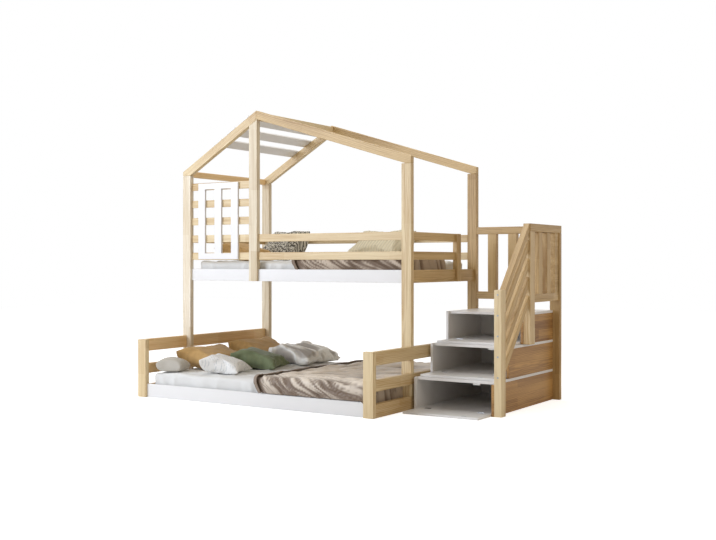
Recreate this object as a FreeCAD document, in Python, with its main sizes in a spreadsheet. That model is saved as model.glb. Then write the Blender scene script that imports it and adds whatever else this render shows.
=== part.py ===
import FreeCAD, Part

import math
import os
import sys

import Sketcher
from FreeCAD import Placement, Rotation, Vector

# Driving sizes in millimetres, each kept in one named cell of the sheet.
SIZES = {
    # Outer size of the bed and where the narrower upper frame starts
    "bed_length": 2100.0,
    "bed_depth": 1500.0,
    "upper_set_back": 480.0,
    # Posts and rails
    "post_width": 78.0,
    "post_thick": 38.0,
    "rail_thick": 19.0,
    "end_rail_thick": 38.0,
    "lower_post_height": 430.0,
    "tall_post_height": 1690.0,
    "lower_rail_height": 100.0,
    "end_bottom_rail_height": 90.0,
    "end_rail_gap": 82.0,
    "end_middle_rail_height": 75.0,
    "end_top_rail_height": 90.0,
    "upper_rail_bottom": 866.0,
    "upper_rail_height": 90.0,
    "guard_gap": 71.0,
    "guard_height": 57.0,
    "guard_pitch": 136.0,
    "middle_post_start": 671.0,
    "entry_width": 250.0,
    "entry_post_width": 60.0,
    # Slats that carry the mattresses
    "slat_width": 70.0,
    "slat_thick": 18.0,
    "slat_end_gap": 45.0,
    "cleat_thick": 20.0,
    "cleat_height": 18.0,
    "lower_slat_bottom": 22.0,
    "centre_beam_width": 38.0,
    # Window on the left bay
    "window_start": 160.0,
    "window_width": 400.0,
    "window_drop": 5.0,
    "window_height": 590.0,
    "window_thick": 17.0,
    "window_bar_width": 68.0,
    "window_end_bar_width": 46.0,
    # House roof
    "apex_place": 741.0,
    "apex_rise": 462.0,
    "left_eave_rise": 31.0,
    "right_eave_rise": 50.0,
    "rafter_depth": 62.0,
    "ridge_beam_width": 38.0,
    "ridge_beam_height": 60.0,
    "ridge_beam_drop": 12.0,
    "eave_beam_width": 38.0,
    "eave_beam_height": 46.0,
    "eave_beam_lap": 6.0,
    "roof_slat_width": 90.0,
    "roof_slat_thick": 13.0,
    "roof_slat_pitch": 156.0,
    "roof_slat_first": 84.0,
    # Staircase
    "stair_gap": 23.0,
    "panel_thick": 18.0,
    "stair_inner_width": 567.0,
    "wall_thick": 20.0,
    "first_tread_height": 226.0,
    "tread_rise": 215.5,
    "tread_going": 228.0,
    "newel_width": 54.0,
    "newel_depth": 66.0,
    "newel_height": 829.0,
    "mid_post_depth": 76.0,
    "mid_post_place": 460.0,
    "stair_post_width": 78.0,
    "cap_top": 1277.0,
    "cap_height": 55.0,
    "side_rail_bottom": 729.0,
    "side_rail_height": 56.0,
    "handrail_width": 44.0,
    "handrail_depth": 35.0,
    "handrail_foot_drop": 8.0,
    "diagonal_board_first": 112.0,
    "diagonal_board_pitch": 128.0,
    "diagonal_board_depth": 43.0,
    "diagonal_board_thick": 32.0,
    "side_slat_width": 68.0,
    "back_slat_width": 72.0,
    "spacer_width": 40.0,
    "spacer_height": 60.0,
    "spacer_inset": 30.0,
    "bolt_head_radius": 6.0,
    "bolt_head_height": 2.5,
    "bolt_first_drop": 32.0,
    "bolt_pitch": 135.0,
    # Drop fronts of the three step boxes
    "flap_thick": 16.0,
    "flap_lift": 0.5,
    "flap_side_gap": 2.0,
    "flap_top_gap": 3.0,
    "pivot_gap": 2.6,
    "hinge_length": 44.0,
    "hinge_middle_length": 18.0,
    "hinge_play": 0.5,
    "hinge_leaf_thick": 1.0,
    "hinge_leaf_reach": 22.0,
    "hinge_barrel_radius": 2.4,
    "hinge_pin_radius": 1.2,
    "hinge_pin_play": 0.1,
    "hinge_inset": 60.0,
    "catch_length": 50.0,
    "catch_depth": 14.0,
    "catch_height": 10.0,
    "catch_inset": 92.0,
    "catch_gap": 0.6,
    "strike_length": 36.0,
    "strike_width": 8.0,
    "strike_thick": 1.0,
    # Mattresses
    "mattress_end_gap": 100.0,
    "lower_mattress_side_gap": 50.0,
    "upper_mattress_side_gap": 22.0,
    "lower_mattress_thick": 148.0,
    "upper_mattress_thick": 118.0,
    "mattress_corner": 45.0,
    "mattress_rim": 22.0,
    "soft_gap": 0.3,
    # Pillows and covers
    "seam_thick": 9.0,
    "cover_thick": 16.0,
    "cover_fold": 24.0,
    "cover_hem_gap": 4.0,
    # How far a cutting tool runs past the face that it cuts
    "cut_overrun": 4.0,
}

# Counts of like pieces
BAY_SLATS = 5
GUARD_RAILS = 2
ROOF_SLATS = 3
BED_SLATS = 13
STEP_BOXES = 3
WINDOW_PANES = 2
DIAGONAL_BOARDS = 4
SIDE_SLATS = 3
BACK_SLATS = 3
NEWEL_BOLTS = 5
COVER_FOLDS = 6

# A pillow's sections along its length: place, thickness and height, as shares of its own size
PILLOW_PLACE_SHARES = (-0.5, -0.4, 0.0, 0.4, 0.5)
PILLOW_THICK_SHARES = (0.0, 0.62, 1.0, 0.62, 0.0)
PILLOW_HEIGHT_SHARES = (1.0, 0.95, 0.9, 0.95, 1.0)

# Pillow length, height and thickness, as shares of the mattress's depth
LARGE_PILLOW_SHARES = (0.3714, 0.2857, 0.0857)
SQUARE_PILLOW_SHARES = (0.2714, 0.2714, 0.0786)
SMALL_PILLOW_SHARES = (0.2286, 0.2286, 0.0714)
ROLL_SHARES = (0.1429, 0.1429, 0.0679)
UPPER_SQUARE_SHARES = (0.4222, 0.4222, 0.1222)
UPPER_LARGE_SHARES = (0.5778, 0.4444, 0.1333)

# Pillow places from a mattress's left front corner, as shares of its depth
BROWN_PLACE_SHARES = ((0.1357, 0.354), (0.1357, 0.775))
PALE_PLACE_SHARES = ((0.0774, 0.078), (0.3637, 0.172), (0.3975, 0.832))
GREEN_PLACE_SHARES = (0.3596, 0.468)
UPPER_PLACE_SHARES = ((0.2111, 0.4), (0.2892, 0.828), (1.3659, 0.828))

# How far each pillow leans back and is turned, in degrees
BROWN_ANGLES = ((18, 0), (24, 0))
PALE_ANGLES = ((6, 20), (16, 20), (14, 3))
GREEN_ANGLES = (16, 20)
UPPER_ANGLES = ((14, 0), (40, -90), (36, -90))

# Where the covers start along the bed and end across it, as shares of the mattress's depth
LOWER_COVER_START_SHARE = 0.72
UPPER_COVER_START_SHARE = 1.0667
UPPER_COVER_DEPTH_SHARE = 0.6222

# A cover's sections along the bed, and its high and low folds, as shares of its own size
COVER_PLACE_SHARES = (0.0, 0.35, 0.7, 1.0)
COVER_FOLD_SHARES = (1.0, 0.2)
COVER_DRIFT_SHARE = 0.3


class Size:
    """A length or ratio that knows its value and the expression that gives it."""

    def __init__(self, text, value):
        self.text = text
        self.value = value

    def joined(self, other, sign, value):
        return Size(f"({self.text} {sign} {other.text})", value)

    def __add__(self, other):
        other = as_size(other)
        return self.joined(other, "+", self.value + other.value)

    def __sub__(self, other):
        other = as_size(other)
        return self.joined(other, "-", self.value - other.value)

    def __mul__(self, other):
        other = as_size(other)
        return self.joined(other, "*", self.value * other.value)

    def __truediv__(self, other):
        other = as_size(other)
        return self.joined(other, "/", self.value / other.value)

    __rmul__ = __mul__


def as_size(thing):
    """Take a count or share as it is, and a size unchanged."""
    if isinstance(thing, Size):
        return thing
    return Size(str(thing), float(thing))


def root(size):
    return Size(f"sqrt({size.text})", math.sqrt(size.value))


def slant(slope):
    """How much longer a sloping line is than its run."""
    return root(slope * slope + 1)


doc = FreeCAD.newDocument("BunkBed")
sheet = doc.addObject("Spreadsheet::Sheet", "Sizes")
for row, (alias, number) in enumerate(SIZES.items(), start=1):
    sheet.set(f"A{row}", alias)
    sheet.set(f"B{row}", str(number))
    sheet.setAlias(f"B{row}", alias)
doc.recompute()


class Named:
    """The sheet's sizes by name."""

    def __getattr__(self, alias):
        return Size(f"Sizes.{alias}", float(getattr(sheet, alias)))


size = Named()
zero = Size("0", 0.0)
subparts = []

# Places that several pieces share, measured from the bed's left front bottom corner
overall_length = (size.bed_length + size.stair_gap + size.panel_thick + size.stair_inner_width
                  + size.wall_thick + size.newel_width)
centre_x = overall_length / 2
centre_y = size.bed_depth / 2
bed_inner_end = size.bed_length - size.post_width
upper_post_back = size.upper_set_back + size.post_thick
back_post_front = size.bed_depth - size.post_thick
left_post = (zero, size.post_width)
right_post = (bed_inner_end, size.bed_length)
between_posts = (size.post_width, bed_inner_end)
front_post = (zero, size.post_thick)
upper_post = (size.upper_set_back, upper_post_back)
back_post = (back_post_front, size.bed_depth)
upper_front_rail_y = (upper_post_back - size.rail_thick, upper_post_back)
back_rail_y = (back_post_front, back_post_front + size.rail_thick)
upper_rail_top = size.upper_rail_bottom + size.upper_rail_height
upper_rail_z = (size.upper_rail_bottom, upper_rail_top)
guard_start = upper_rail_top + size.guard_gap
upper_inside = (upper_post_back, back_post_front)


def show(piece, label):
    """Count a finished object as one sub-part under its own label."""
    piece.Label = label
    subparts.append(piece)
    return piece


def box(name, across, deep, high):
    """A straight board between three pairs of low and high places."""
    piece = doc.addObject("Part::Box", name)
    piece.setExpression("Length", (across[1] - across[0]).text)
    piece.setExpression("Width", (deep[1] - deep[0]).text)
    piece.setExpression("Height", (high[1] - high[0]).text)
    piece.setExpression("Placement.Base.x", (across[0] - centre_x).text)
    piece.setExpression("Placement.Base.y", (deep[0] - centre_y).text)
    piece.setExpression("Placement.Base.z", high[0].text)
    return piece


def group(name, pieces):
    """Like pieces that share one name, each a solid of its own."""
    whole = doc.addObject("Part::Compound", name)
    whole.Links = pieces
    return whole


def joined(name, pieces):
    whole = doc.addObject("Part::MultiFuse", name)
    whole.Shapes = pieces
    return whole


def cut(name, base, tools):
    """Take the tools out of the base."""
    tool = tools[0] if len(tools) == 1 else group(name + "_tools", tools)
    piece = doc.addObject("Part::Cut", name)
    piece.Base = base
    piece.Tool = tool
    return piece


def rod(name, radius, middle_y, middle_z, across):
    """A round rod along X."""
    piece = doc.addObject("Part::Cylinder", name)
    piece.setExpression("Radius", radius.text)
    piece.setExpression("Height", (across[1] - across[0]).text)
    piece.Placement = Placement(Vector(), Rotation(Vector(0, 1, 0), 90))
    piece.setExpression("Placement.Base.x", (across[0] - centre_x).text)
    piece.setExpression("Placement.Base.y", (middle_y - centre_y).text)
    piece.setExpression("Placement.Base.z", middle_z.text)
    return piece


def dimension(sketch, kind, line, number):
    """Tie a corner to the origin along one direction, or onto the sketch's own axis."""
    if number.text == "0":
        axis = -2 if kind == "DistanceX" else -1
        sketch.addConstraint(Sketcher.Constraint("PointOnObject", line, 1, axis))
        return
    rule = Sketcher.Constraint(kind, -1, 1, line, 1, number.value)
    place = sketch.addConstraint(rule)
    sketch.setExpression(f"Constraints[{place}]", number.text)


def outline(sketch, corners):
    """Draw one closed outline with every corner dimensioned from the origin."""
    first = sketch.GeometryCount
    count = len(corners)
    for index in range(count):
        start = corners[index]
        end = corners[(index + 1) % count]
        line = Part.LineSegment(Vector(start[0].value, start[1].value, 0),
                                Vector(end[0].value, end[1].value, 0))
        sketch.addGeometry(line, False)
    for index in range(count):
        following = first + (index + 1) % count
        sketch.addConstraint(Sketcher.Constraint("Coincident", first + index, 2, following, 1))
    for index, (across, up) in enumerate(corners):
        dimension(sketch, "DistanceX", first + index, across)
        dimension(sketch, "DistanceY", first + index, up)


def padded_body(name, plane, outlines, reach):
    """A board with a drawn outline, standing in the XZ or YZ plane."""
    body = doc.addObject("PartDesign::Body", name)
    sketch = body.newObject("Sketcher::SketchObject", name + "_outline")
    role = [item for item in body.Origin.OriginFeatures if item.Role == plane][0]
    sketch.AttachmentSupport = (role, [""])
    sketch.MapMode = "FlatFace"
    for corners in outlines:
        outline(sketch, corners)
    pad = body.newObject("PartDesign::Pad", name + "_pad")
    pad.Profile = sketch
    pad.setExpression("Length", (reach[1] - reach[0]).text)
    if plane == "XZ_Plane":
        body.setExpression("Placement.Base.x", (zero - centre_x).text)
        body.setExpression("Placement.Base.y", (reach[1] - centre_y).text)
    else:
        body.setExpression("Placement.Base.x", (reach[0] - centre_x).text)
        body.setExpression("Placement.Base.y", (zero - centre_y).text)
    return body


def spread(low, high, width, count):
    """Like pieces spaced evenly between two ends, with a gap at each end."""
    gap = (high - low - width * count) / (count + 1)
    spans = []
    for index in range(count):
        start = low + gap * (index + 1) + width * index
        spans.append((start, start + width))
    return spans


# Lower bed
end_middle_bottom = size.end_bottom_rail_height + size.end_rail_gap
end_middle_top = end_middle_bottom + size.end_middle_rail_height
end_rail_spans = (
    (zero, size.end_bottom_rail_height),
    (end_middle_bottom, end_middle_top),
    (size.lower_post_height - size.end_top_rail_height, size.lower_post_height),
)
between_lower_posts = (size.post_thick, back_post_front)
left_end_x = (zero, size.end_rail_thick)
right_end_x = (size.bed_length - size.end_rail_thick, size.bed_length)


def lower_bed():
    """The low wide bed: short front posts, side rails, end rails and slats."""
    high = (zero, size.lower_post_height)
    show(group("LowerFrontPosts", [
        box("LowerPostLeft", left_post, front_post, high),
        box("LowerPostRight", right_post, front_post, high),
    ]), "lower_front_posts")
    rail_z = (zero, size.lower_rail_height)
    rail_y = (size.post_thick - size.rail_thick, size.post_thick)
    show(group("LowerSideRails", [
        box("LowerFrontRail", between_posts, rail_y, rail_z),
        box("LowerBackRail", between_posts, back_rail_y, rail_z),
    ]), "lower_side_rails")
    for side, across in (("left", left_end_x), ("right", right_end_x)):
        rails = []
        for index, rail_span in enumerate(end_rail_spans):
            rails.append(box(f"{side}_end_rail_{index}", across, between_lower_posts, rail_span))
        show(group(f"{side}_end_rail_group", rails), f"{side}_end_rails")


def bed_slats(name, label, deep, bottom):
    """The row of slats that carries one mattress."""
    low = size.post_width + size.slat_end_gap
    high = bed_inner_end - size.slat_end_gap
    pitch = (high - low - size.slat_width) / (BED_SLATS - 1)
    slats = []
    for index in range(BED_SLATS):
        start = low + pitch * index
        slats.append(box(f"{name}_{index}", (start, start + size.slat_width), deep,
                         (bottom, bottom + size.slat_thick)))
    show(group(name, slats), label)


upper_slat_bottom = size.upper_rail_bottom + size.cleat_height


def mattress_supports():
    """Slats on cleats along the side rails, and the lower bed's middle beam."""
    bed_slats("LowerSlat", "lower_bed_slats", between_lower_posts, size.lower_slat_bottom)
    bed_slats("UpperSlat", "upper_bed_slats", upper_inside, upper_slat_bottom)
    lower_z = (size.lower_slat_bottom - size.cleat_height, size.lower_slat_bottom)
    upper_z = (size.upper_rail_bottom, upper_slat_bottom)
    lower_y = (size.post_thick, size.post_thick + size.cleat_thick)
    upper_y = (upper_post_back, upper_post_back + size.cleat_thick)
    back_y = (back_post_front - size.cleat_thick, back_post_front)
    pieces = [
        box("LowerFrontCleat", between_posts, lower_y, lower_z),
        box("LowerBackCleat", between_posts, back_y, lower_z),
        box("UpperFrontCleat", between_posts, upper_y, upper_z),
        box("UpperBackCleat", between_posts, back_y, upper_z),
        box("CentreBeam", (left_end_x[1], right_end_x[0]),
            (centre_y - size.centre_beam_width / 2, centre_y + size.centre_beam_width / 2),
            (zero, size.lower_slat_bottom)),
    ]
    show(group("SlatSupports", pieces), "slat_supports")


def tall_posts():
    """Four posts that carry the upper bed; the front pair is notched round the end rails."""
    high = (zero, size.tall_post_height)
    notch_y = (size.upper_set_back - size.cut_overrun, upper_post_back + size.cut_overrun)
    for side, across, notch in (
        ("left", left_post, (zero - size.cut_overrun, left_end_x[1])),
        ("right", right_post, (right_end_x[0], size.bed_length + size.cut_overrun)),
    ):
        blank = box(f"tall_front_{side}_blank", across, upper_post, high)
        notches = []
        for index, (low, top) in enumerate(end_rail_spans):
            start = low - size.cut_overrun if index == 0 else low
            notches.append(box(f"tall_front_{side}_notch_{index}", notch, notch_y, (start, top)))
        show(cut(f"tall_front_{side}", blank, notches), f"tall_post_front_{side}")
        show(box(f"tall_back_{side}", across, back_post, high), f"tall_post_back_{side}")


# Roof lines of the house-shaped frame
apex_height = size.tall_post_height + size.apex_rise
left_eave_height = size.tall_post_height + size.left_eave_rise
right_eave_height = size.tall_post_height + size.right_eave_rise
left_slope = (size.apex_rise - size.left_eave_rise) / size.apex_place
right_slope = (size.apex_rise - size.right_eave_rise) / (size.bed_length - size.apex_place)
left_drop = size.rafter_depth * slant(left_slope)
right_drop = size.rafter_depth * slant(right_slope)


def left_under(place):
    """Height of the left rafter's underside at a place along the bed."""
    return left_eave_height - left_drop + left_slope * place


def right_under(place):
    """Height of the right rafter's underside at a place along the bed."""
    return apex_height - right_drop - right_slope * (place - size.apex_place)


def middle_post():
    """Post under the apex, notched behind for the upper front rail."""
    start = size.middle_post_start
    end = start + size.post_width
    corners = [
        (start, size.upper_rail_bottom),
        (end, size.upper_rail_bottom),
        (end, right_under(end)),
        (size.apex_place, right_under(size.apex_place)),
        (size.apex_place, left_under(size.apex_place)),
        (start, left_under(start)),
    ]
    blank = padded_body("MiddlePostBlank", "XZ_Plane", [corners], upper_post)
    notch = box("MiddlePostNotch", (start - size.cut_overrun, end + size.cut_overrun),
                (upper_front_rail_y[0], upper_post_back + size.cut_overrun),
                (size.upper_rail_bottom - size.cut_overrun, upper_rail_top))
    show(cut("MiddlePost", blank, [notch]), "middle_post")


def upper_rails():
    """Side rails, end rails and guard rails of the upper bed."""
    show(box("UpperFrontRail", between_posts, upper_front_rail_y, upper_rail_z), "upper_front_rail")
    show(box("UpperBackRail", between_posts, back_rail_y, upper_rail_z), "upper_back_rail")
    left_x = (size.rail_thick, size.rail_thick + size.rail_thick)
    right_x = (size.bed_length - size.rail_thick - size.rail_thick, size.bed_length - size.rail_thick)
    show(group("UpperEndRails", [
        box("UpperLeftEndRail", left_x, upper_inside, upper_rail_z),
        box("UpperRightEndRail", right_x, upper_inside, upper_rail_z),
    ]), "upper_end_rails")
    entry_start = back_post_front - size.entry_width - size.entry_post_width
    entry_y = (entry_start, entry_start + size.entry_post_width)
    top = guard_start + size.guard_pitch + size.guard_height
    blank = box("EntryPostBlank", (right_x[0], size.bed_length), entry_y, (size.upper_rail_bottom, top))
    notch = box("EntryPostNotch", (right_x[0] - size.cut_overrun, right_x[1]),
                (entry_start - size.cut_overrun, entry_y[1] + size.cut_overrun),
                (size.upper_rail_bottom - size.cut_overrun, upper_rail_top))
    show(cut("EntryPost", blank, [notch]), "entry_post")
    middle_post_end = size.middle_post_start + size.post_width
    runs = (
        ("front_guard_rails", [((middle_post_end, bed_inner_end), upper_front_rail_y)]),
        ("back_guard_rails", [(between_posts, back_rail_y)]),
        ("end_guard_rails", [(left_x, upper_inside), (right_x, (upper_post_back, entry_start))]),
    )
    for label, spans in runs:
        rails = []
        for across, deep in spans:
            for index in range(GUARD_RAILS):
                low = guard_start + size.guard_pitch * index
                rails.append(box(f"{label}_{len(rails)}", across, deep, (low, low + size.guard_height)))
        show(group(label + "_group", rails), label)


def window_bay():
    """Slats of the left bay with the white window frame on them."""
    slats = []
    for index in range(BAY_SLATS):
        low = guard_start + size.guard_pitch * index
        slats.append(box(f"BaySlat{index}", (size.post_width, size.middle_post_start),
                         upper_front_rail_y, (low, low + size.guard_height)))
    show(group("WindowBaySlats", slats), "window_bay_slats")
    left = size.window_start
    right = left + size.window_width
    low = guard_start + size.window_drop
    top = low + size.window_height
    outlines = [rectangle(left, right, low, top)]
    pane = (size.window_width - size.window_bar_width * (WINDOW_PANES + 1)) / WINDOW_PANES
    for index in range(WINDOW_PANES):
        start = left + size.window_bar_width * (index + 1) + pane * index
        outlines.append(rectangle(start, start + pane, low + size.window_end_bar_width,
                                  top - size.window_end_bar_width))
    front = upper_front_rail_y[0] - size.window_thick
    show(padded_body("WindowFrame", "XZ_Plane", outlines, (front, upper_front_rail_y[0])), "window_frame")


def rectangle(left, right, low, top):
    return [(left, low), (right, low), (right, top), (left, top)]


def roof():
    """Two pairs of rafters joined by the ridge beam, the eave beam and three slats."""
    seat_left = (size.tall_post_height - left_eave_height + left_drop) / left_slope
    seat_right = (apex_height - right_drop - size.tall_post_height) / right_slope + size.apex_place
    left_corners = [
        (zero, size.tall_post_height),
        (seat_left, size.tall_post_height),
        (size.apex_place, left_under(size.apex_place)),
        (size.apex_place, apex_height),
        (zero, left_eave_height),
    ]
    right_corners = [
        (size.apex_place, right_under(size.apex_place)),
        (seat_right, size.tall_post_height),
        (size.bed_length, size.tall_post_height),
        (size.bed_length, right_eave_height),
        (size.apex_place, apex_height),
    ]
    for place, deep in (("front", upper_post), ("back", back_post)):
        for side, corners in (("left", left_corners), ("right", right_corners)):
            label = f"rafter_{place}_{side}"
            show(padded_body(label + "_board", "XZ_Plane", [corners], deep), label)
    ridge_top = apex_height - size.ridge_beam_drop
    ridge_start = size.apex_place - size.ridge_beam_width / 2
    show(box("RidgeBeam", (ridge_start, ridge_start + size.ridge_beam_width), upper_inside,
             (ridge_top - size.ridge_beam_height, ridge_top)), "ridge_beam")
    eave_low = size.tall_post_height - size.eave_beam_lap
    show(box("EaveBeam", (zero, size.eave_beam_width), upper_inside,
             (eave_low, eave_low + size.eave_beam_height)), "eave_beam")
    slats = []
    over_rafters = (size.upper_set_back, size.bed_depth)
    length = slant(left_slope)
    rise = size.roof_slat_thick * left_slope / length
    lift = size.roof_slat_thick / length
    for index in range(ROOF_SLATS):
        near = size.roof_slat_first + size.roof_slat_pitch * index
        far = near + size.roof_slat_width
        upper_x = size.apex_place - near / length
        lower_x = size.apex_place - far / length
        upper_z = apex_height - near * left_slope / length
        lower_z = apex_height - far * left_slope / length
        corners = [(lower_x, lower_z), (upper_x, upper_z), (upper_x - rise, upper_z + lift),
                   (lower_x - rise, lower_z + lift)]
        slats.append(padded_body(f"RoofSlat{index}", "XZ_Plane", [corners], over_rafters))
    show(group("RoofSlats", slats), "roof_slats")


# Staircase places
stair_start = size.bed_length + size.stair_gap
stair_inner = (stair_start + size.panel_thick, stair_start + size.panel_thick + size.stair_inner_width)
wall_x = (stair_inner[1], stair_inner[1] + size.wall_thick)
newel_x = (wall_x[1], wall_x[1] + size.newel_width)
stair_post_x = (newel_x[1] - size.stair_post_width, newel_x[1])
stair_back_y = (back_post_front, back_post_front + size.panel_thick)
tread_tops = [size.first_tread_height + size.tread_rise * step for step in range(STEP_BOXES)]
box_floors = [zero] + tread_tops[:-1]
box_fronts = [size.upper_set_back + size.tread_going * step for step in range(STEP_BOXES)]
flap_room = size.flap_thick + size.pivot_gap + size.pivot_gap
newel_y = (size.upper_set_back, size.upper_set_back + size.newel_depth)
mid_post_y = (size.upper_set_back + size.mid_post_place,
              size.upper_set_back + size.mid_post_place + size.mid_post_depth)
cap_bottom = size.cap_top - size.cap_height
newel_middle = newel_x[0] + size.newel_width / 2


def stair_boxes():
    """Three step boxes between a stepped white side and a pine wall."""
    corners = [(box_fronts[0], zero)]
    for front, top in zip(box_fronts, tread_tops):
        if corners[-1][0] is not front:
            corners.append((front, corners[-1][1]))
        corners.append((front, top))
    corners.append((stair_back_y[1], tread_tops[-1]))
    corners.append((stair_back_y[1], zero))
    show(padded_body("StairLeftPanel", "YZ_Plane", [corners], (stair_start, stair_inner[0])),
         "stair_left_panel")
    walls = []
    treads = []
    floors = []
    for step in range(STEP_BOXES):
        front = box_fronts[step]
        tread_low = tread_tops[step] - size.panel_thick
        walls.append(box(f"StairWall{step}", wall_x, (front, back_post_front),
                         (box_floors[step], tread_low)))
        treads.append(box(f"StairTread{step}", (stair_inner[0], wall_x[1]),
                          (front + flap_room, back_post_front), (tread_low, tread_tops[step])))
        floors.append(box(f"StairFloor{step}", stair_inner, (front + flap_room, back_post_front),
                          (box_floors[step], box_floors[step] + size.flap_lift + size.flap_thick)))
    show(group("StairWalls", walls), "stair_right_panels")
    show(group("StairTreads", treads), "stair_treads")
    show(group("StairFloors", floors), "stair_bottom_panels")
    show(box("StairBack", (stair_inner[0], stair_post_x[0]), stair_back_y, (zero, tread_tops[-1])),
         "stair_back_panel")
    spacers = []
    second_z = (size.lower_post_height - size.spacer_height, size.lower_post_height)
    for name, low in (("StairSpacerFront", box_fronts[1] + size.spacer_inset),
                      ("StairSpacerBack", back_post_front - size.spacer_inset - size.spacer_width)):
        spacers.append(box(name, (size.bed_length, stair_start), (low, low + size.spacer_width), second_z))
    show(group("StairSpacers", spacers), "stair_spacers")


def across_newel(width):
    """Span of a piece that is centred on the newel's width."""
    return (newel_middle - width / 2, newel_middle + width / 2)


def stair_rail():
    """Newel, posts, sloping handrail with its boards, and the two railings."""
    show(box("Newel", newel_x, newel_y, (zero, size.newel_height)), "stair_newel")
    show(box("MidPost", newel_x, mid_post_y, (tread_tops[1], cap_bottom)), "stair_mid_post")
    show(box("StairBackPost", stair_post_x, back_post, (zero, cap_bottom)), "stair_back_post")
    foot = size.newel_height - size.handrail_foot_drop
    slope = (size.cap_top - foot) / (mid_post_y[0] - newel_y[1])
    drop = size.handrail_depth * slant(slope)
    handrail_x = across_newel(size.handrail_width)
    show(padded_body("Handrail", "YZ_Plane", [band(foot, slope, drop)], handrail_x), "stair_handrail")
    board_drop = size.diagonal_board_depth * slant(slope)
    board_x = across_newel(size.diagonal_board_thick)
    boards = []
    for index in range(DIAGONAL_BOARDS):
        start = foot - size.diagonal_board_first - size.diagonal_board_pitch * index
        corners = band(start, slope, board_drop)
        boards.append(padded_body(f"DiagonalBoard{index}", "YZ_Plane", [corners], board_x))
    show(group("DiagonalBoards", boards), "stair_diagonal_boards")
    side_z = (size.side_rail_bottom, size.side_rail_bottom + size.side_rail_height)
    side_x = across_newel(size.post_thick)
    pieces = [
        box("SideCap", newel_x, (mid_post_y[0], size.bed_depth), (cap_bottom, size.cap_top)),
        box("SideBottomRail", side_x, (mid_post_y[1], back_post_front), side_z),
    ]
    side_pitch = (back_post_front - mid_post_y[1]) / SIDE_SLATS
    for index in range(SIDE_SLATS):
        end = mid_post_y[1] + side_pitch * (index + 1)
        deep = (end - size.side_slat_width, end)
        pieces.append(box(f"SideSlat{index}", side_x, deep, (side_z[1], cap_bottom)))
    show(group("SideRailing", pieces), "side_railing")
    back_x = (size.bed_length, stair_post_x[0])
    pieces = [
        box("BackTopRail", back_x, back_post, (cap_bottom, size.cap_top)),
        box("BackBottomRail", back_x, back_post, side_z),
    ]
    for index, across in enumerate(spread(back_x[0], back_x[1], size.back_slat_width, BACK_SLATS)):
        pieces.append(box(f"BackSlat{index}", across, back_post, (side_z[1], cap_bottom)))
    show(group("BackRailing", pieces), "back_railing")
    bolts = []
    for index in range(NEWEL_BOLTS):
        bolt = doc.addObject("Part::Cylinder", f"NewelBolt{index}")
        bolt.setExpression("Radius", size.bolt_head_radius.text)
        bolt.setExpression("Height", size.bolt_head_height.text)
        bolt.Placement = Placement(Vector(), Rotation(Vector(1, 0, 0), 90))
        bolt.setExpression("Placement.Base.x", (newel_middle - centre_x).text)
        bolt.setExpression("Placement.Base.y", (newel_y[0] - centre_y).text)
        height = size.newel_height - size.bolt_first_drop - size.bolt_pitch * index
        bolt.setExpression("Placement.Base.z", height.text)
        bolts.append(bolt)
    show(group("NewelBolts", bolts), "newel_bolts")


def band(foot, slope, drop):
    """A sloping board between the newel and the mid post, seen from the side."""
    reach = mid_post_y[0] - newel_y[1]
    head = foot + slope * reach
    near = newel_y[1]
    far = mid_post_y[0]
    return [(near, foot), (near, foot - drop), (far, head - drop), (far, head)]


def drop_fronts():
    """Drop-down fronts of the step boxes, shown open, with hinges and catches."""
    fixed_leaves = []
    pins = []
    catches = []
    flap_x = (stair_inner[0] + size.flap_side_gap, stair_inner[1] - size.flap_side_gap)
    for step in range(STEP_BOXES):
        number = step + 1
        front = box_fronts[step]
        floor = box_floors[step]
        rise = tread_tops[step] - floor
        surface = floor + size.flap_lift + size.flap_thick
        length = rise - size.flap_lift - flap_room - size.flap_top_gap
        hinge_edge = front + size.flap_thick
        pivot_y = hinge_edge + size.pivot_gap
        pivot_z = surface + size.pivot_gap
        flap_y = (hinge_edge - length, hinge_edge)
        show(box(f"Flap{number}", flap_x, flap_y, (floor + size.flap_lift, surface)), f"flap_{number}")
        fittings = []
        hinge_starts = (flap_x[0] + size.hinge_inset, flap_x[1] - size.hinge_inset - size.hinge_length)
        for side, start in enumerate(hinge_starts):
            name = f"Hinge{number}{side}"
            fittings.append(flap_leaf(name, start, pivot_y, pivot_z, surface))
            fixed_leaves.append(fixed_leaf(name, start, pivot_y, pivot_z, surface))
            pins.append(rod(name + "Pin", size.hinge_pin_radius, pivot_y, pivot_z,
                            (start, start + size.hinge_length)))
        strike_middle = stair_inner[1] - size.catch_inset - size.catch_length / 2
        strike_start = (hinge_edge - length + size.panel_thick + size.catch_height / 2 - size.flap_top_gap
                        - size.strike_width / 2)
        strike_x = (strike_middle - size.strike_length / 2, strike_middle + size.strike_length / 2)
        strike_y = (strike_start, strike_start + size.strike_width)
        fittings.append(box(f"Strike{number}", strike_x, strike_y, (surface, surface + size.strike_thick)))
        show(group(f"FlapFittings{number}", fittings), f"flap_{number}_fittings")
        tread_low = tread_tops[step] - size.panel_thick
        catch_front = front + size.flap_thick + size.strike_thick + size.catch_gap
        catch_x = (strike_middle - size.catch_length / 2, strike_middle + size.catch_length / 2)
        catch_y = (catch_front, catch_front + size.catch_depth)
        catches.append(box(f"Catch{number}", catch_x, catch_y, (tread_low - size.catch_height, tread_low)))
    show(group("HingeFixedLeaves", fixed_leaves), "hinge_fixed_leaves")
    show(group("HingePins", pins), "hinge_pins")
    show(group("MagneticCatches", catches), "magnetic_catches")


def middle_knuckle(start):
    side = (size.hinge_length - size.hinge_middle_length) / 2
    return (start + side, start + side + size.hinge_middle_length)


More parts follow.
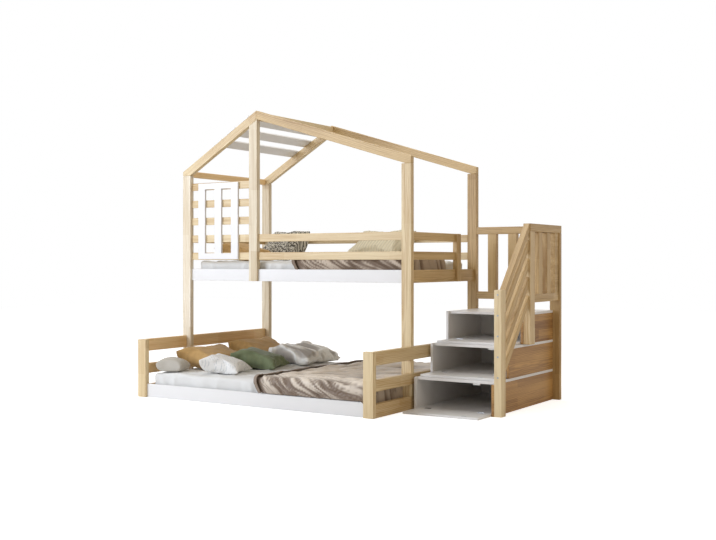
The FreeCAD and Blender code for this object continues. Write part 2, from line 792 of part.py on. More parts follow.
def fixed_leaf(name, start, pivot_y, pivot_z, surface):
    """The leaf on the box floor, with the middle knuckle."""
    middle = middle_knuckle(start)
    plate = box(name + "FixedPlate", middle, (pivot_y, pivot_y + size.hinge_leaf_reach),
                (surface, surface + size.hinge_leaf_thick))
    barrel = rod(name + "FixedBarrel", size.hinge_barrel_radius, pivot_y, pivot_z, middle)
    web = box(name + "FixedWeb", middle, (pivot_y, pivot_y + size.hinge_barrel_radius), (surface, pivot_z))
    bore = rod(name + "FixedBore", size.hinge_pin_radius, pivot_y, pivot_z,
               (middle[0] - size.cut_overrun, middle[1] + size.cut_overrun))
    return cut(name + "Fixed", joined(name + "FixedWhole", [plate, barrel, web]), [bore])


def flap_leaf(name, start, pivot_y, pivot_z, surface):
    """The leaf on the flap, with the two outer knuckles."""
    middle = middle_knuckle(start)
    whole = (start, start + size.hinge_length)
    plate_y = (pivot_y - size.hinge_leaf_reach, pivot_y - size.hinge_barrel_radius)
    plate = box(name + "FlapPlate", whole, plate_y, (surface, surface + size.hinge_leaf_thick))
    barrel = rod(name + "FlapBarrel", size.hinge_barrel_radius, pivot_y, pivot_z, whole)
    web = box(name + "FlapWeb", whole, (pivot_y - size.hinge_barrel_radius, pivot_y), (surface, pivot_z))
    gap = box(name + "FlapGap", (middle[0] - size.hinge_play, middle[1] + size.hinge_play),
              (pivot_y - size.hinge_barrel_radius - size.hinge_play, pivot_y + size.hinge_leaf_reach),
              (surface - size.cut_overrun, pivot_z + size.hinge_barrel_radius + size.cut_overrun))
    bore = rod(name + "FlapBore", size.hinge_pin_radius + size.hinge_pin_play, pivot_y, pivot_z,
               (whole[0] - size.cut_overrun, whole[1] + size.cut_overrun))
    return cut(name + "Flap", joined(name + "FlapWhole", [plate, barrel, web]), [gap, bore])


# Bedding
lower_mattress_bottom = size.lower_slat_bottom + size.slat_thick
upper_mattress_bottom = upper_slat_bottom + size.slat_thick
mattress_x = (size.mattress_end_gap, size.bed_length - size.mattress_end_gap)
lower_mattress_y = (size.lower_mattress_side_gap, size.bed_depth - size.lower_mattress_side_gap)
upper_mattress_y = (upper_post_back + size.upper_mattress_side_gap,
                    back_post_front - size.upper_mattress_side_gap)
lower_top = lower_mattress_bottom + size.lower_mattress_thick
upper_top = upper_mattress_bottom + size.upper_mattress_thick


def feature(name, shape):
    """A piece whose shape is worked out here from the sheet's sizes."""
    piece = doc.addObject("Part::Feature", name)
    piece.Shape = shape
    to_centre = Placement(Vector(-centre_x.value, -centre_y.value, 0), Rotation())
    piece.Placement = to_centre.multiply(shape.Placement)
    return piece


def mattress(name, deep, bottom, top):
    """A slab with rounded corners and a rounded rim."""
    length = mattress_x[1].value - mattress_x[0].value
    width = deep[1].value - deep[0].value
    height = top.value - bottom.value - size.soft_gap.value
    corner = Vector(mattress_x[0].value, deep[0].value, bottom.value + size.soft_gap.value)
    slab = Part.makeBox(length, width, height, corner)
    upright = [edge for edge in slab.Edges if edge.BoundBox.ZLength > size.soft_gap.value]
    slab = slab.makeFillet(size.mattress_corner.value, upright)
    rim = [edge for edge in slab.Edges if edge.BoundBox.ZLength < size.soft_gap.value]
    return feature(name, slab.makeFillet(size.mattress_rim.value, rim))


def pillow_section(place, half_height, half_thick, half_seam):
    """One cross-section: two crowned faces between two narrow seams."""
    near_low = Vector(-half_height, place, -half_seam)
    near_high = Vector(-half_height, place, half_seam)
    far_low = Vector(half_height, place, -half_seam)
    far_high = Vector(half_height, place, half_seam)
    return Part.Wire([
        Part.Arc(near_low, Vector(0, place, -half_thick), far_low).toShape(),
        Part.LineSegment(far_low, far_high).toShape(),
        Part.Arc(far_high, Vector(0, place, half_thick), near_high).toShape(),
        Part.LineSegment(near_high, near_low).toShape(),
    ])


def pillow(length, height, thick):
    """A crowned pillow with drawn-in long sides, lying flat about its own centre."""
    half_seam = size.seam_thick.value / 2
    sections = []
    for place, swell, drawn in zip(PILLOW_PLACE_SHARES, PILLOW_THICK_SHARES, PILLOW_HEIGHT_SHARES):
        half_thick = half_seam + (thick.value / 2 - half_seam) * swell + half_seam
        half_height = drawn * height.value / 2
        sections.append(pillow_section(place * length.value, half_height, half_thick, half_seam))
    return Part.makeLoft(sections, True, False)


def laid(name, kind_shares, place_shares, angles, deep, top):
    """Lay a pillow on a mattress: leaned, turned, and set down just above the top."""
    depth = deep[1] - deep[0]
    lean, turn = angles
    shape = pillow(*[depth * share for share in kind_shares])
    shape.rotate(Vector(), Vector(0, 1, 0), lean)
    shape.rotate(Vector(), Vector(0, 0, 1), turn)
    low = shape.optimalBoundingBox(True, False).ZMin
    along = mattress_x[0] + depth * place_shares[0]
    across = deep[0] + depth * place_shares[1]
    shape.translate(Vector(along.value, across.value, top.value + size.soft_gap.value - low))
    return feature(name, shape)


def cover(name, across, mattress_front, front, back, hem, top):
    """A quilt that falls over the mattress's front edge and lies in folds on top."""
    gap = size.soft_gap.value
    inner = mattress_front.value - gap
    low = top.value + gap
    rest = low + size.cover_thick.value
    sections = []
    for share in COVER_PLACE_SHARES:
        along = across[0].value + share * (across[1].value - across[0].value)
        points = [front.value]
        pitch = (back.value - inner) / COVER_FOLDS
        for fold in range(1, COVER_FOLDS):
            points.append(inner + pitch * (fold + share * COVER_DRIFT_SHARE))
        points.append(back.value)
        hem_corner = Vector(along, front.value, hem.value)
        edges = [Part.LineSegment(hem_corner, Vector(along, front.value, rest)).toShape()]
        for fold in range(COVER_FOLDS):
            start = points[fold]
            end = points[fold + 1]
            crest = rest + size.cover_fold.value * COVER_FOLD_SHARES[fold % len(COVER_FOLD_SHARES)]
            edges.append(Part.Arc(Vector(along, start, rest), Vector(along, (start + end) / 2, crest),
                                  Vector(along, end, rest)).toShape())
        corners = [(back.value, rest), (back.value, low), (inner, low), (inner, hem.value)]
        corners.append((front.value, hem.value))
        for here, there in zip(corners, corners[1:]):
            edges.append(Part.LineSegment(Vector(along, *here), Vector(along, *there)).toShape())
        sections.append(Part.Wire(edges))
    return feature(name, Part.makeLoft(sections, True, True))


def bedding():
    """Two mattresses with pillows, a quilt and a blanket."""
    show(mattress("LowerMattress", lower_mattress_y, lower_mattress_bottom, lower_top), "lower_mattress")
    show(mattress("UpperMattress", upper_mattress_y, upper_mattress_bottom, upper_top), "upper_mattress")
    lower = lower_mattress_y
    upper = upper_mattress_y
    show(group("LowerBrownPillows", [
        laid(f"LowerBrown{index}", LARGE_PILLOW_SHARES, shares, BROWN_ANGLES[index], lower, lower_top)
        for index, shares in enumerate(BROWN_PLACE_SHARES)
    ]), "lower_brown_pillows")
    pale = zip((ROLL_SHARES, SMALL_PILLOW_SHARES, LARGE_PILLOW_SHARES), PALE_PLACE_SHARES, PALE_ANGLES)
    show(group("LowerPalePillows", [
        laid(f"LowerPale{index}", kind, shares, angles, lower, lower_top)
        for index, (kind, shares, angles) in enumerate(pale)
    ]), "lower_pale_pillows")
    show(laid("GreenCushion", SQUARE_PILLOW_SHARES, GREEN_PLACE_SHARES, GREEN_ANGLES, lower, lower_top),
         "green_cushion")
    kinds = (UPPER_SQUARE_SHARES, UPPER_SQUARE_SHARES, UPPER_LARGE_SHARES)
    high = zip(kinds, UPPER_PLACE_SHARES, UPPER_ANGLES)
    show(group("UpperPillows", [
        laid(f"UpperPillow{index}", kind, shares, angles, upper, upper_top)
        for index, (kind, shares, angles) in enumerate(high)
    ]), "upper_pillows")
    lower_depth = lower[1] - lower[0]
    upper_depth = upper[1] - upper[0]
    cover_end = mattress_x[1] - size.mattress_rim
    quilt_front = size.post_thick - size.rail_thick + size.cover_hem_gap
    quilt_x = (mattress_x[0] + lower_depth * LOWER_COVER_START_SHARE, cover_end)
    quilt_hem = size.lower_rail_height + size.cover_hem_gap
    show(cover("LowerQuilt", quilt_x, lower[0], quilt_front, lower[1] - size.mattress_rim, quilt_hem,
               lower_top), "lower_quilt")
    show(cover("UpperBlanket", (mattress_x[0] + upper_depth * UPPER_COVER_START_SHARE, cover_end), upper[0],
               upper_post_back + size.cover_hem_gap, upper[0] + upper_depth * UPPER_COVER_DEPTH_SHARE,
               upper_rail_top - size.cover_thick, upper_top), "upper_blanket")


def build():
    lower_bed()
    mattress_supports()
    tall_posts()
    middle_post()
    upper_rails()
    window_bay()
    roof()
    stair_boxes()
    stair_rail()
    drop_fronts()
    bedding()
    doc.recompute()


def write():
    """Stop on any failed object, then write one file for each sub-part."""
    failed = [item.Name for item in doc.Objects if "Invalid" in item.State or "Error" in item.State]
    for piece in subparts:
        if piece.Shape.isNull() or not piece.Shape.isValid():
            failed.append(piece.Label)
    if failed:
        print("failed objects:", failed)
        sys.exit(1)
    os.makedirs("parts", exist_ok=True)
    for piece in subparts:
        piece.Shape.exportStep(os.path.join("parts", piece.Label + ".step"))
    print(len(subparts), "sub-parts written")


build()
write()
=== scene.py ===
"""Dresses the house bunk bed: planed pine, white lacquered board, plated hinges and soft bedding."""

import math

import bmesh
import bpy
import numpy as np
from mathutils import Matrix, Vector, noise


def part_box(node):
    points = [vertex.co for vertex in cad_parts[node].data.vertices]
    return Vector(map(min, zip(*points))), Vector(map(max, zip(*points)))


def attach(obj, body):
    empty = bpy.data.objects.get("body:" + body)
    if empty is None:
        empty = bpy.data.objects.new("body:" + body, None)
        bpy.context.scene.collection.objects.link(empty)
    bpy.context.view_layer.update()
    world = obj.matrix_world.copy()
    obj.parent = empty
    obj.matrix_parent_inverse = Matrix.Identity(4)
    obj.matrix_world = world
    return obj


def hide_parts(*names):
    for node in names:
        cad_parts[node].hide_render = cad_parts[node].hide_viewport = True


bl_info = {
    "name": "House Bunk Bed",
    "version": (1, 0, 0),
    "blender": (4, 5, 0),
    "location": "3D View > Sidebar > Bunk Bed",
    "description": "Builds the looks of a house-shaped bunk bed round its fixed frame",
    "category": "Object",
}

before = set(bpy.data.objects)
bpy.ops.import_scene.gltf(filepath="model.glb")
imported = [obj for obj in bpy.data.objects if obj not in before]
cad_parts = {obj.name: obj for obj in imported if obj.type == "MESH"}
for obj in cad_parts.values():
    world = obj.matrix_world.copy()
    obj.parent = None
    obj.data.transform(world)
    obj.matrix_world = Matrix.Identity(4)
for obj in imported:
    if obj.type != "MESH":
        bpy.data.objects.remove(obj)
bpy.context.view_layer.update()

MM = 0.001
MAIN_BODY = "bed_frame"


def linear(colour):
    """Linear colour with alpha from an sRGB hex value."""
    channels = [int(colour[i:i + 2], 16) / 255 for i in (1, 3, 5)]
    return tuple(c / 12.92 if c <= 0.04045 else ((c + 0.055) / 1.055) ** 2.4 for c in channels) + (1.0,)


def colour_property(name, description, colour):
    return bpy.props.FloatVectorProperty(
        name=name, description=description, subtype="COLOR", size=4, min=0, max=1, default=linear(colour))


def length_property(name, description, millimetres):
    return bpy.props.FloatProperty(
        name=name, description=description, subtype="DISTANCE", unit="LENGTH", default=millimetres * MM)


def lamp_property(name, description, watts):
    return bpy.props.FloatProperty(name=name, description=description, unit="POWER", default=watts)


class BedSizes(bpy.types.PropertyGroup):
    """Small sizes that the looks add to the fixed frame."""

    pine_edge: length_property("Pine edge", "Rounding along the edges of a pine board", 3.0)
    lacquer_edge: length_property("Lacquer edge", "Rounding along the edges of a lacquered board", 1.8)
    mattress_rim: length_property("Mattress rim", "Radius of a mattress's rounded rim", 34.0)
    cloth_thick: length_property("Cover thickness", "Thickness of the quilt and the blanket", 7.0)
    mesh_pitch: length_property("Mesh pitch", "Spacing of the points in the bedding", 13.0)


class BedColours(bpy.types.PropertyGroup):
    """Colours of the pine, of its copies painted lighter for light and darker for shade, of the paints and of
    the cloths; each pine has a light tone and the dark tone of its rings.
    """

    pine_light: colour_property("Pine, light", "Most of the bed", "#DFCBA1")
    pine_dark: colour_property("Pine, dark", "Most of the bed", "#B08B54")
    # Painted light: a paler copy of the pine for the left front post, where the key lamp falls strongest
    bleached_light: colour_property("Key-lit pine, light", "Left front post", "#EFE6D3")
    bleached_dark: colour_property("Key-lit pine, dark", "Left front post", "#CDBA98")
    # Painted light: a paler copy of the pine for the middle and left back posts, on the brighter left
    pale_light: colour_property("Left-lit pine, light", "Middle and left back posts", "#E4D9C0")
    pale_dark: colour_property("Left-lit pine, dark", "Middle and left back posts", "#BDA67F")
    # Painted light and shade: a warmer, more saturated copy of the pine for the inward faces of the left end
    # rails and the eave beam
    fill_lit_light: colour_property("Fill-lit pine, light", "Left end rails and eave beam", "#EBCB98")
    fill_lit_dark: colour_property("Fill-lit pine, dark", "Left end rails and eave beam", "#C79C60")
    # Painted shade: a darker copy of the pine for the stairs, the right rafters and the upper right end,
    # where the light falls off
    honey_light: colour_property("Shaded pine, light", "Stairs, right rafters and upper right end", "#CDB07C")
    honey_dark: colour_property("Shaded pine, dark", "Stairs, right rafters and upper right end", "#98753F")
    # Painted shade: the darkest copy of the pine, for the stepped wall of the stairs
    full_shade_light: colour_property("Fully shaded pine, light", "Stepped wall of the stairs", "#C29658")
    full_shade_dark: colour_property("Fully shaded pine, dark", "Stepped wall of the stairs", "#7D5427")
    lacquer: colour_property("Lacquer", "White paint on the boards", "#E5E4E2")
    steel: colour_property("Hinge steel", "Zinc-plated hinges and bolt heads", "#B9BBBD")
    plastic: colour_property("Catch plastic", "Moulded magnetic catches", "#D9D9D6")
    sheet: colour_property("Sheet", "White cotton over the mattresses", "#DFDFDC")
    brown: colour_property("Brown velvet", "Velvet of the large brown pillows", "#CCA76F")
    green: colour_property("Green velvet", "Velvet of the square green cushion", "#7F8A6A")
    stone: colour_property("Stone cotton", "Washed cotton of the small roll", "#BDB8AD")
    creased: colour_property("Creased cotton", "Washed cotton of the large creased pillow", "#F8F7F1")
    print_ground: colour_property("Print ground", "Ground of the cotton with short strokes", "#F2F2EF")
    print_stroke: colour_property("Print stroke", "Short strokes on the cotton", "#96A1AA")
    cream: colour_property("Cream knit", "Wool of the cable-knit pillow", "#F2E6C4")
    fleck: colour_property("Fleck knit, dark", "Dark stitches of the grey knit", "#57544D")
    fleck_pale: colour_property("Fleck knit, pale", "Pale stitches of the grey knit", "#CFCBBD")
    taupe: colour_property("Taupe satin", "Satin of the quilt", "#E8DCCB")
    blanket: colour_property("Taupe blanket", "Cotton of the upper blanket", "#DACAB6")


class BedStudio(bpy.types.PropertyGroup):
    """Camera and lamps."""

    lens: bpy.props.FloatProperty(name="Lens", description="Camera lens for a 36 mm sensor", unit="CAMERA",
                                  default=50.566)
    key_power: lamp_property("Key lamp", "Power of the large lamp in front on the left", 290.0)
    fill_power: lamp_property("Fill lamp", "Power of the lamp on the right", 40.0)
    top_power: lamp_property("Top lamp", "Power of the lamp overhead", 115.0)
    sky: bpy.props.FloatProperty(name="Room light", description="Strength of the even light all round", min=0,
                                 default=0.42)


def sizes():
    return bpy.context.scene.bunk_bed_sizes


def colours():
    return bpy.context.scene.bunk_bed_colours


def studio():
    return bpy.context.scene.bunk_bed_studio


# Materials

def colour_of(key):
    """One of the bed's colours, as a shader takes it."""
    return tuple(getattr(colours(), key))


def toned(colour, share):
    """A colour made darker or lighter."""
    return tuple(min(1.0, c * share) for c in colour[:3]) + (1.0,)


def add(tree, kind, inputs=None, output=0, **settings):
    """Add one node with its settings, feed its inputs values or links, and return one of its outputs."""
    node = tree.nodes.new("ShaderNode" + kind)
    for key, value in settings.items():
        setattr(node, key, value)
    for key, value in (inputs or {}).items():
        if isinstance(value, bpy.types.NodeSocket):
            tree.links.new(value, node.inputs[key])
        else:
            node.inputs[key].default_value = value
    return node.outputs[output] if len(node.outputs) else None


def new_material(name):
    """A material with an empty node tree."""
    material = bpy.data.materials.new(name)
    material.use_nodes = True
    material.node_tree.nodes.clear()
    return material, material.node_tree


def shaded(material, pattern, relief, inputs):
    """Give a material its shader: a pattern of two colours, a relief by its height, and plain constants."""
    tree = material.node_tree
    share, first, second = pattern
    height, distance, strength = relief
    shader = add(tree, "BsdfPrincipled", {
        "Base Color": add(tree, "Mix", {"Factor": share, 6: first, 7: second}, 2, data_type="RGBA"),
        "Normal": add(tree, "Bump", {"Height": height, "Distance": distance, "Strength": strength}),
        "Sheen Roughness": 0.45, "Coat Roughness": 0.3, **inputs})
    add(tree, "OutputMaterial", {"Surface": shader})
    return material


def wave_scale(spacing):
    """The scale of Blender's wave pattern that repeats every so many metres."""
    return 2 * math.pi / (20 * spacing)


def planed_pine(name, wood):
    """Planed pine under lacquer; its copies are painted lighter where lit and darker where shaded."""
    # Finger-jointed pine reads as pale straw with soft rings, blocks of differing tone and a low sheen
    material, tree = new_material(name)
    grain = add(tree, "Attribute", None, "Vector", attribute_name="grain")
    tone = add(tree, "Attribute", None, "Fac", attribute_name="tone")
    drift, fibres, cloud, streaks = (
        add(tree, "TexNoise", {
            "Vector": add(tree, "VectorMath", {0: grain, 1: per_metre}, operation="MULTIPLY"),
            "Scale": 1.0, "Detail": detail, "Roughness": 0.55}, output)
        for per_metre, detail, output in (
            # Rings wander over half a metre along the board and 110 mm across it
            ((1.6, 9.0, 9.0), 3.0, "Color"),
            # Fibres 2 mm wide and a few centimetres long
            ((9.0, 420.0, 420.0), 3.0, "Fac"),
            # Clouds of tone a little wider than a board
            ((1.1, 7.0, 7.0), 2.0, "Fac"),
            # Streaks about 25 mm wide and half a metre long
            ((2.0, 40.0, 40.0), 1.0, "Fac")))
    even = add(tree, "VectorMath", {0: drift, 1: (0.5, 0.5, 0.5)}, operation="SUBTRACT")
    long = add(tree, "VectorMath", {0: grain, 1: (0.05, 1.0, 1.0)}, operation="MULTIPLY")
    bent = add(tree, "VectorMath", {0: even, 1: (0.0, 0.045, 0.045), 2: long}, operation="MULTIPLY_ADD")
    # Real rings are 2 to 4 mm apart; 9 mm is as fine as the picture can show
    rings = add(tree, "TexWave", {"Vector": bent, "Scale": wave_scale(9 * MM)}, "Fac",
                wave_type="RINGS", rings_direction="X")
    # Finger-jointed blocks 460 mm long and 68 mm wide, each with its own tone
    blocks = add(tree, "TexBrick", {
        "Vector": grain, "Color1": (0, 0, 0, 1), "Color2": (1, 1, 1, 1), "Mortar": (0.5, 0.5, 0.5, 1),
        "Scale": 1.0, "Mortar Size": 0.0, "Brick Width": 0.46, "Row Height": 0.068},
        offset=0.42, offset_frequency=2)
    total = 0.0
    weights = (rings, 0.42), (fibres, 0.35), (blocks, 0.42), (cloud, 0.85), (streaks, 0.9), (tone, 0.3)
    for part, weight in weights:
        total = add(tree, "Math", {0: part, 1: weight, 2: total}, operation="MULTIPLY_ADD")
    # The paler part of the sum is left as clear early wood
    dark = add(tree, "Math", {0: total, 1: 1.22}, operation="SUBTRACT", use_clamp=True)
    relief = add(tree, "Math", {0: rings, 1: 0.4, 2: fibres}, operation="MULTIPLY_ADD")
    rough = add(tree, "Math", {0: fibres, 1: 0.16, 2: 0.4}, operation="MULTIPLY_ADD")
    return shaded(material, (dark, colour_of(wood + "_light"), colour_of(wood + "_dark")),
                  (relief, 0.4 * MM, 0.5), {"Roughness": rough, "Coat Weight": 0.12})


def white_lacquer():
    """White satin paint, sprayed on board."""
    # Sprayed paint gives an even white with the faintest orange peel and soft reflections
    material, tree = new_material("White_satin_lacquer_on_board")
    place = add(tree, "TexCoord", None, "Object")
    # Peel of 2 mm, and clouds half a metre wide
    peel, cloud = (
        add(tree, "TexNoise", {"Vector": place, "Scale": scale, "Detail": detail, "Roughness": 0.55})
        for scale, detail in ((420.0, 1.0), (2.2, 2.0)))
    white = colour_of("lacquer")
    faint = add(tree, "Math", {0: cloud, 1: 0.7}, operation="MULTIPLY")
    rough = add(tree, "Math", {0: cloud, 1: 0.14, 2: 0.28}, operation="MULTIPLY_ADD")
    return shaded(material, (faint, white, toned(white, 0.93)), (peel, 0.2 * MM, 0.35),
                  {"Roughness": rough, "Coat Weight": 0.1})


def zinc_steel():
    """Zinc-plated steel, lightly brushed along the hinge."""
    # Plating is bright but finely lined, so it gives broken grey reflections
    material, tree = new_material("Zinc_plated_brushed_steel")
    place = add(tree, "TexCoord", None, "Object")
    # Lines 0.4 mm wide and 17 mm long
    fine = add(tree, "VectorMath", {0: place, 1: (60.0, 2400.0, 2400.0)}, operation="MULTIPLY")
    lines = add(tree, "TexNoise", {"Vector": fine, "Scale": 1.0, "Detail": 2.0, "Roughness": 0.55})
    steel = colour_of("steel")
    return shaded(material, (lines, steel, toned(steel, 0.72)), (lines, 0.08 * MM, 0.6),
                  {"Metallic": 1.0, "Roughness": 0.32})


def moulded_plastic():
    """Moulded white plastic."""
    # A spark-eroded mould leaves a fine matt grain of about a millimetre
    material, tree = new_material("Moulded_white_plastic")
    place = add(tree, "TexCoord", None, "Object")
    grit = add(tree, "TexNoise", {"Vector": place, "Scale": 900.0, "Detail": 2.0, "Roughness": 0.55})
    plastic = colour_of("plastic")
    return shaded(material, (grit, plastic, toned(plastic, 0.9)), (grit, 0.15 * MM, 0.5), {"Roughness": 0.5})


def woven(name, colour, roughness, sheen, thread=3.2 * MM, depth=0.4 * MM, mottle=0.12, print_and_shade=None):
    """Plain-woven cloth, matt and softly mottled; a print is laid over some, and painted shade in the folds
    over the satins.
    """
    material, tree = new_material(name)
    cloth = add(tree, "Attribute", None, "Vector", attribute_name="cloth")
    # Real threads of 0.4 mm can't show, so they are drawn about 3 mm apart
    warp, weft = (
        add(tree, "TexWave", {"Vector": cloth, "Scale": wave_scale(thread)}, "Fac",
            wave_type="BANDS", bands_direction=axis)
        for axis in "XY")
    both = add(tree, "Math", {0: warp, 1: weft}, operation="ADD")
    weave = add(tree, "Math", {0: both, 1: 0.5}, operation="MULTIPLY")
    cloud = add(tree, "TexNoise", {"Vector": cloth, "Scale": 9.0, "Detail": 3.0, "Roughness": 0.55})
    clouded = add(tree, "Math", {0: cloud, 1: 0.65}, operation="MULTIPLY")
    amount = add(tree, "Math", {0: weave, 1: 0.35, 2: clouded}, operation="MULTIPLY_ADD")
    pattern = amount, colour, toned(colour, 1 - 2 * mottle)
    # The print of the stroked cotton, and the painted shade of the satins, are laid over the ground here
    if print_and_shade:
        ground = add(tree, "Mix", {"Factor": pattern[0], 6: pattern[1], 7: pattern[2]}, 2, data_type="RGBA")
        pattern = print_and_shade(tree, cloth, ground)
    return shaded(material, pattern, (weave, depth, 0.5),
                  {"Roughness": roughness, "Sheen Weight": sheen, "Specular IOR Level": 0.3})


def satin(name, colour, roughness=0.42, sheen=0.35):
    """Cotton satin, whose long floats shine along each fold, with painted shade in the valleys between folds.
    """
    # Painted shade: the valleys between folds are painted a deeper, browner tone than the lit ridges
    valley_shade = tuple(c * share for c, share in zip(colour[:3], (0.20, 0.155, 0.125))) + (1.0,)

    def painted_valley_shade(tree, cloth, ground):
        return add(tree, "Attribute", None, "Fac", attribute_name="crest"), valley_shade, ground

    return woven(name, colour, roughness, sheen, 2.6 * MM, 0.2 * MM, 0.05, painted_valley_shade)


def stroked_cotton():
    """White cotton with rows of short slanted strokes."""
    # A loose printed pattern of pale blue-grey dashes in cells of 34 by 16 mm
    def printed(tree, cloth, ground):
        wobble = add(tree, "TexNoise", {"Vector": cloth, "Scale": 40.0, "Detail": 1.0, "Roughness": 0.55},
                     "Color")
        moved = add(tree, "VectorMath", {0: wobble, 1: (12 * MM, 12 * MM, 0.0), 2: cloth},
                    operation="MULTIPLY_ADD")
        turned = add(tree, "VectorRotate", {"Vector": moved, "Angle": math.radians(38)},
                     rotation_type="Z_AXIS")
        gaps = add(tree, "TexBrick", {
            "Vector": turned, "Color1": (0, 0, 0, 1), "Color2": (0.25, 0.25, 0.25, 1), "Mortar": (1, 1, 1, 1),
            "Scale": 1.0, "Mortar Size": 5.5 * MM, "Mortar Smooth": 0.2, "Brick Width": 34 * MM,
            "Row Height": 16 * MM}, offset=0.5, offset_frequency=2)
        dashes = add(tree, "Math", {0: 1.0, 1: gaps}, operation="SUBTRACT", use_clamp=True)
        # About half of the dashes are left out, in patches 30 mm wide
        patches = add(tree, "TexNoise", {"Vector": cloth, "Scale": 34.0, "Detail": 1.0, "Roughness": 0.55})
        kept = add(tree, "Math", {0: patches, 1: 0.5}, operation="GREATER_THAN")
        strokes = add(tree, "Math", {0: dashes, 1: kept}, operation="MULTIPLY")
        ink = add(tree, "Math", {0: strokes, 1: 0.38}, operation="MULTIPLY")
        return ink, ground, colour_of("print_stroke")

    return woven("Printed_cotton_with_strokes", colour_of("print_ground"), 0.8, 0.15, print_and_shade=printed)


def velvet(name, colour):
    """Short-pile velvet."""
    # Pile turns dark face on and glows at grazing angles, with brushed patches 40 to 70 mm wide
    material, tree = new_material(name)
    cloth = add(tree, "Attribute", None, "Vector", attribute_name="cloth")
    wide = add(tree, "VectorMath", {0: cloth, 1: (14.0, 26.0, 14.0)}, operation="MULTIPLY")
    brushed = add(tree, "TexNoise", {"Vector": wide, "Scale": 1.0, "Detail": 3.0, "Roughness": 0.55})
    pile = add(tree, "TexNoise", {"Vector": cloth, "Scale": 700.0, "Detail": 2.0, "Roughness": 0.55})
    little = add(tree, "Math", {0: pile, 1: 0.3}, operation="MULTIPLY")
    amount = add(tree, "Math", {0: brushed, 1: 0.7, 2: little}, operation="MULTIPLY_ADD")
    return shaded(material, (amount, toned(colour, 1.18), toned(colour, 0.62)), (pile, 0.6 * MM, 0.45),
                  {"Roughness": 0.85, "Sheen Weight": 0.2, "Specular IOR Level": 0.12})


def cable_knit():
    """Chunky cream knit with cables."""
    # Thick wool in twisted ribs 26 mm apart, matt and soft
    material, tree = new_material("Cream_cable_knit_wool")
    cloth = add(tree, "Attribute", None, "Vector", attribute_name="cloth")
    ribs = add(tree, "TexWave", {"Vector": cloth, "Scale": wave_scale(26 * MM)}, "Fac",
               wave_type="BANDS", bands_direction="X")
    turned = add(tree, "VectorRotate", {"Vector": cloth, "Angle": math.radians(35)}, rotation_type="Z_AXIS")
    strands = add(tree, "TexWave", {"Vector": turned, "Scale": wave_scale(9 * MM)}, "Fac",
                  wave_type="BANDS", bands_direction="Y")
    stitch = add(tree, "Math", {0: ribs, 1: strands}, operation="MULTIPLY")
    wool = add(tree, "TexNoise", {"Vector": cloth, "Scale": 500.0, "Detail": 2.0, "Roughness": 0.55})
    fuzzy = add(tree, "Math", {0: wool, 1: 0.3, 2: stitch}, operation="MULTIPLY_ADD")
    # Painted shade: the hollows between ribs and strands are painted darker, with the wool's own fuzz mixed
    # in
    hollow_shade = add(tree, "Math", {0: 1.0, 1: fuzzy}, operation="SUBTRACT", use_clamp=True)
    relief = add(tree, "Math", {0: wool, 1: 0.15, 2: stitch}, operation="MULTIPLY_ADD")
    cream = colour_of("cream")
    return shaded(material, (hollow_shade, cream, toned(cream, 0.62)), (relief, 5 * MM, 0.8),
                  {"Roughness": 0.95, "Sheen Weight": 0.4, "Specular IOR Level": 0.1})


def fleck_knit():
    """Grey knit flecked with dark and pale stitches."""
    # Two yarns knitted together read as salt and pepper in cells of 8 mm
    material, tree = new_material("Flecked_grey_knit_wool")
    cloth = add(tree, "Attribute", None, "Vector", attribute_name="cloth")
    height, cells = (
        add(tree, "TexVoronoi", {"Vector": cloth, "Scale": 125.0}, output, feature="F1")
        for output in ("Distance", "Color"))
    split = add(tree, "SeparateColor", {"Color": cells})
    pale = add(tree, "Math", {0: split, 1: 0.52}, operation="GREATER_THAN")
    round_top = add(tree, "Math", {0: 1.0, 1: height}, operation="SUBTRACT")
    return shaded(material, (pale, colour_of("fleck"), colour_of("fleck_pale")), (round_top, 3 * MM, 0.7),
                  {"Roughness": 0.95, "Sheen Weight": 0.3, "Specular IOR Level": 0.1})


def make_materials():
    """Every finish by the name that the pieces ask for."""
    return {
        "pine": planed_pine("Planed_pine_satin_lacquer", "pine"),
        # Painted light: paler copy of the pine for the left front post
        "key_lit_pine": planed_pine("Planed_pine_bleached_lacquer", "bleached"),
        # Painted light: paler copy of the pine for the middle and left back posts
        "left_lit_pine": planed_pine("Planed_pine_clear_lacquer", "pale"),
        # Painted light and shade: warmer copy of the pine for the left end rails and the eave beam
        "fill_lit_pine": planed_pine("Planed_pine_waxed", "fill_lit"),
        # Painted shade: darker copy of the pine for the stairs and the right-hand parts
        "in_shade_pine": planed_pine("Planed_pine_honey_lacquer", "honey"),
        # Painted shade: darkest copy of the pine for the stepped wall of the stairs
        "full_shade_pine": planed_pine("Planed_pine_brown_oil", "full_shade"),
        "lacquer": white_lacquer(),
        "steel": zinc_steel(),
        "plastic": moulded_plastic(),
        "sheet": woven("White_cotton_percale", colour_of("sheet"), 0.82, 0.12, mottle=0.035),
        "brown": velvet("Brown_cotton_velvet", colour_of("brown")),
        "green": velvet("Green_cotton_velvet", colour_of("green")),
        "stone": woven("Stone_washed_cotton", colour_of("stone"), 0.7, 0.25, mottle=0.06),
        "creased": satin("Washed_grey_white_cotton", colour_of("creased"), 0.75, 0.2),
        "print": stroked_cotton(),
        "cream": cable_knit(),
        "fleck": fleck_knit(),
        "taupe": satin("Taupe_cotton_satin", colour_of("taupe")),
        "blanket": satin("Taupe_brushed_cotton", colour_of("blanket"), 0.6, 0.3),
    }


FINISHES = {}


def finish(name):
    """A finish by its short name; all of them are made when the first is asked for."""
    if not FINISHES:
        FINISHES.update(make_materials())
    return FINISHES[name]


# Mesh helpers

# Keeps a division by a length from failing where the length is nothing
TINY = 1e-9
PILLOW_PITCH = 11 * MM


